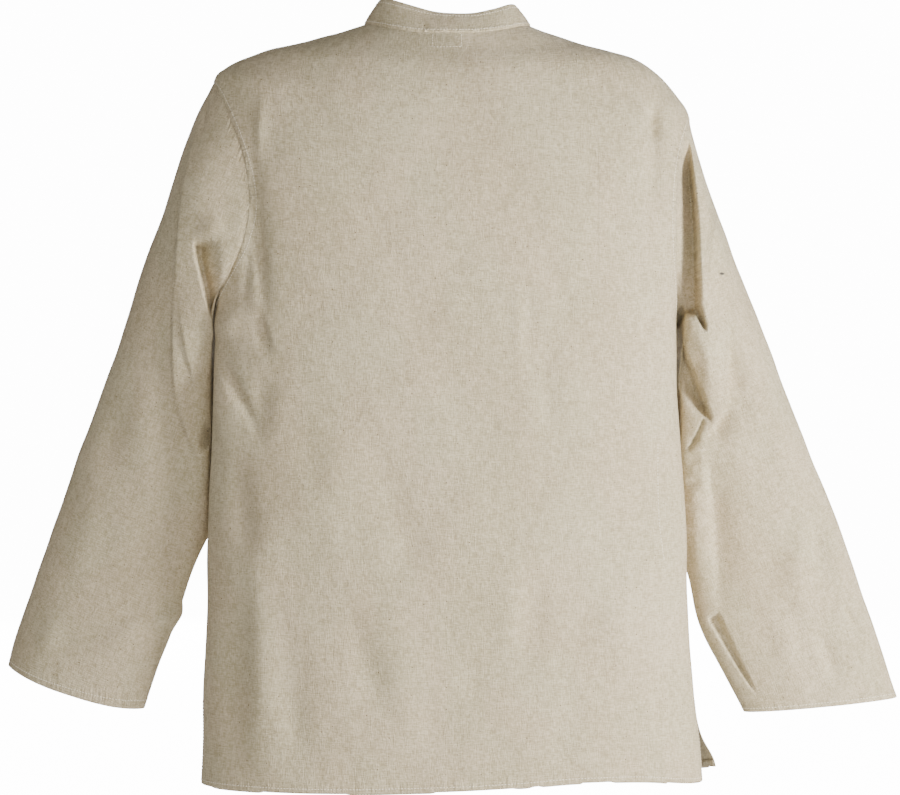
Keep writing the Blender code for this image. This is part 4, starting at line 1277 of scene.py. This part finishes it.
# The floor and the light
# A plain pale floor below the hem and an even surround, both seen as white, as the photo's ground is.
# A soft light stands at the camera's right, and weaker ones fill in from elsewhere.
FLOOR_HEIGHT = -0.86
FLOOR_RADIUS = 14
FLOOR_COLOUR = (0.92, 0.92, 0.92, 1)
SEEN_WHITE = 14.0
SURROUND = 0.18

floor_mesh = bmesh.new()
bmesh.ops.create_circle(floor_mesh, cap_ends=True, segments=96, radius=FLOOR_RADIUS)
for vert in floor_mesh.verts:
    vert.co.z = FLOOR_HEIGHT
floor_data = bpy.data.meshes.new("floor")
floor_mesh.to_mesh(floor_data)
floor_mesh.free()
floor = bpy.data.objects.new("floor", floor_data)
bpy.context.scene.collection.objects.link(floor)
floor_paint = bpy.data.materials.new("pale_floor")
floor_paint.use_nodes = True
floor_shader = floor_paint.node_tree.nodes["Principled BSDF"]
floor_shader.inputs["Base Color"].default_value = FLOOR_COLOUR
floor_shader.inputs["Roughness"].default_value = 0.9
floor_shader.inputs["Emission Color"].default_value = (1, 1, 1, 1)
floor_seen = floor_paint.node_tree.nodes.new("ShaderNodeLightPath").outputs["Is Camera Ray"]
floor_glow = worked_out(floor_paint.node_tree, "MULTIPLY", floor_seen, SEEN_WHITE)
floor_paint.node_tree.links.new(floor_glow, floor_shader.inputs["Emission Strength"])
floor_data.materials.append(floor_paint)

world = bpy.data.worlds.new("surround")
world.use_nodes = True
world_nodes = world.node_tree.nodes
world_nodes["Background"].inputs["Color"].default_value = (1, 1, 1, 1)
world_seen = world_nodes.new("ShaderNodeLightPath").outputs["Is Camera Ray"]
world_strength = worked_out(world.node_tree, "MULTIPLY_ADD", world_seen, SEEN_WHITE, SURROUND)
world.node_tree.links.new(world_strength, world_nodes["Background"].inputs["Strength"])
bpy.context.scene.world = world

Light = namedtuple("Light", "name place aim width power colour")
LIGHTS = (
    Light("key", (-1.75, 1.2, -0.55), (-0.05, 0, -0.45), 0.7, 86, (1.0, 0.99, 0.98)),
    Light("fill", (-0.35, 1.6, -0.5), (-0.05, 0, -0.45), 0.9, 13, (1.0, 0.99, 0.98)),
    Light("low_fill", (-0.2, 1.6, -1.5), (0, 0, -0.6), 1.2, 6, (0.80, 0.90, 1.0)),
    Light("shoulder_light", (1.3, 1.2, 0.9), (0.2, 0, -0.10), 0.8, 8, (1.0, 0.98, 0.95)),
    Light("front_light", (0.3, -2.6, 0.3), (0, 0, -0.35), 2.0, 60, (1.0, 0.98, 0.95)),
)
for light in LIGHTS:
    light_data = bpy.data.lights.new(light.name, "AREA")
    light_data.size = light.width
    light_data.energy = light.power
    light_data.color = light.colour
    lamp = bpy.data.objects.new(light.name, light_data)
    lamp.visible_camera = False
    lamp.location = light.place
    lamp.rotation_euler = (Vector(light.aim) - Vector(light.place)).to_track_quat("-Z", "Y").to_euler()
    bpy.context.scene.collection.objects.link(lamp)
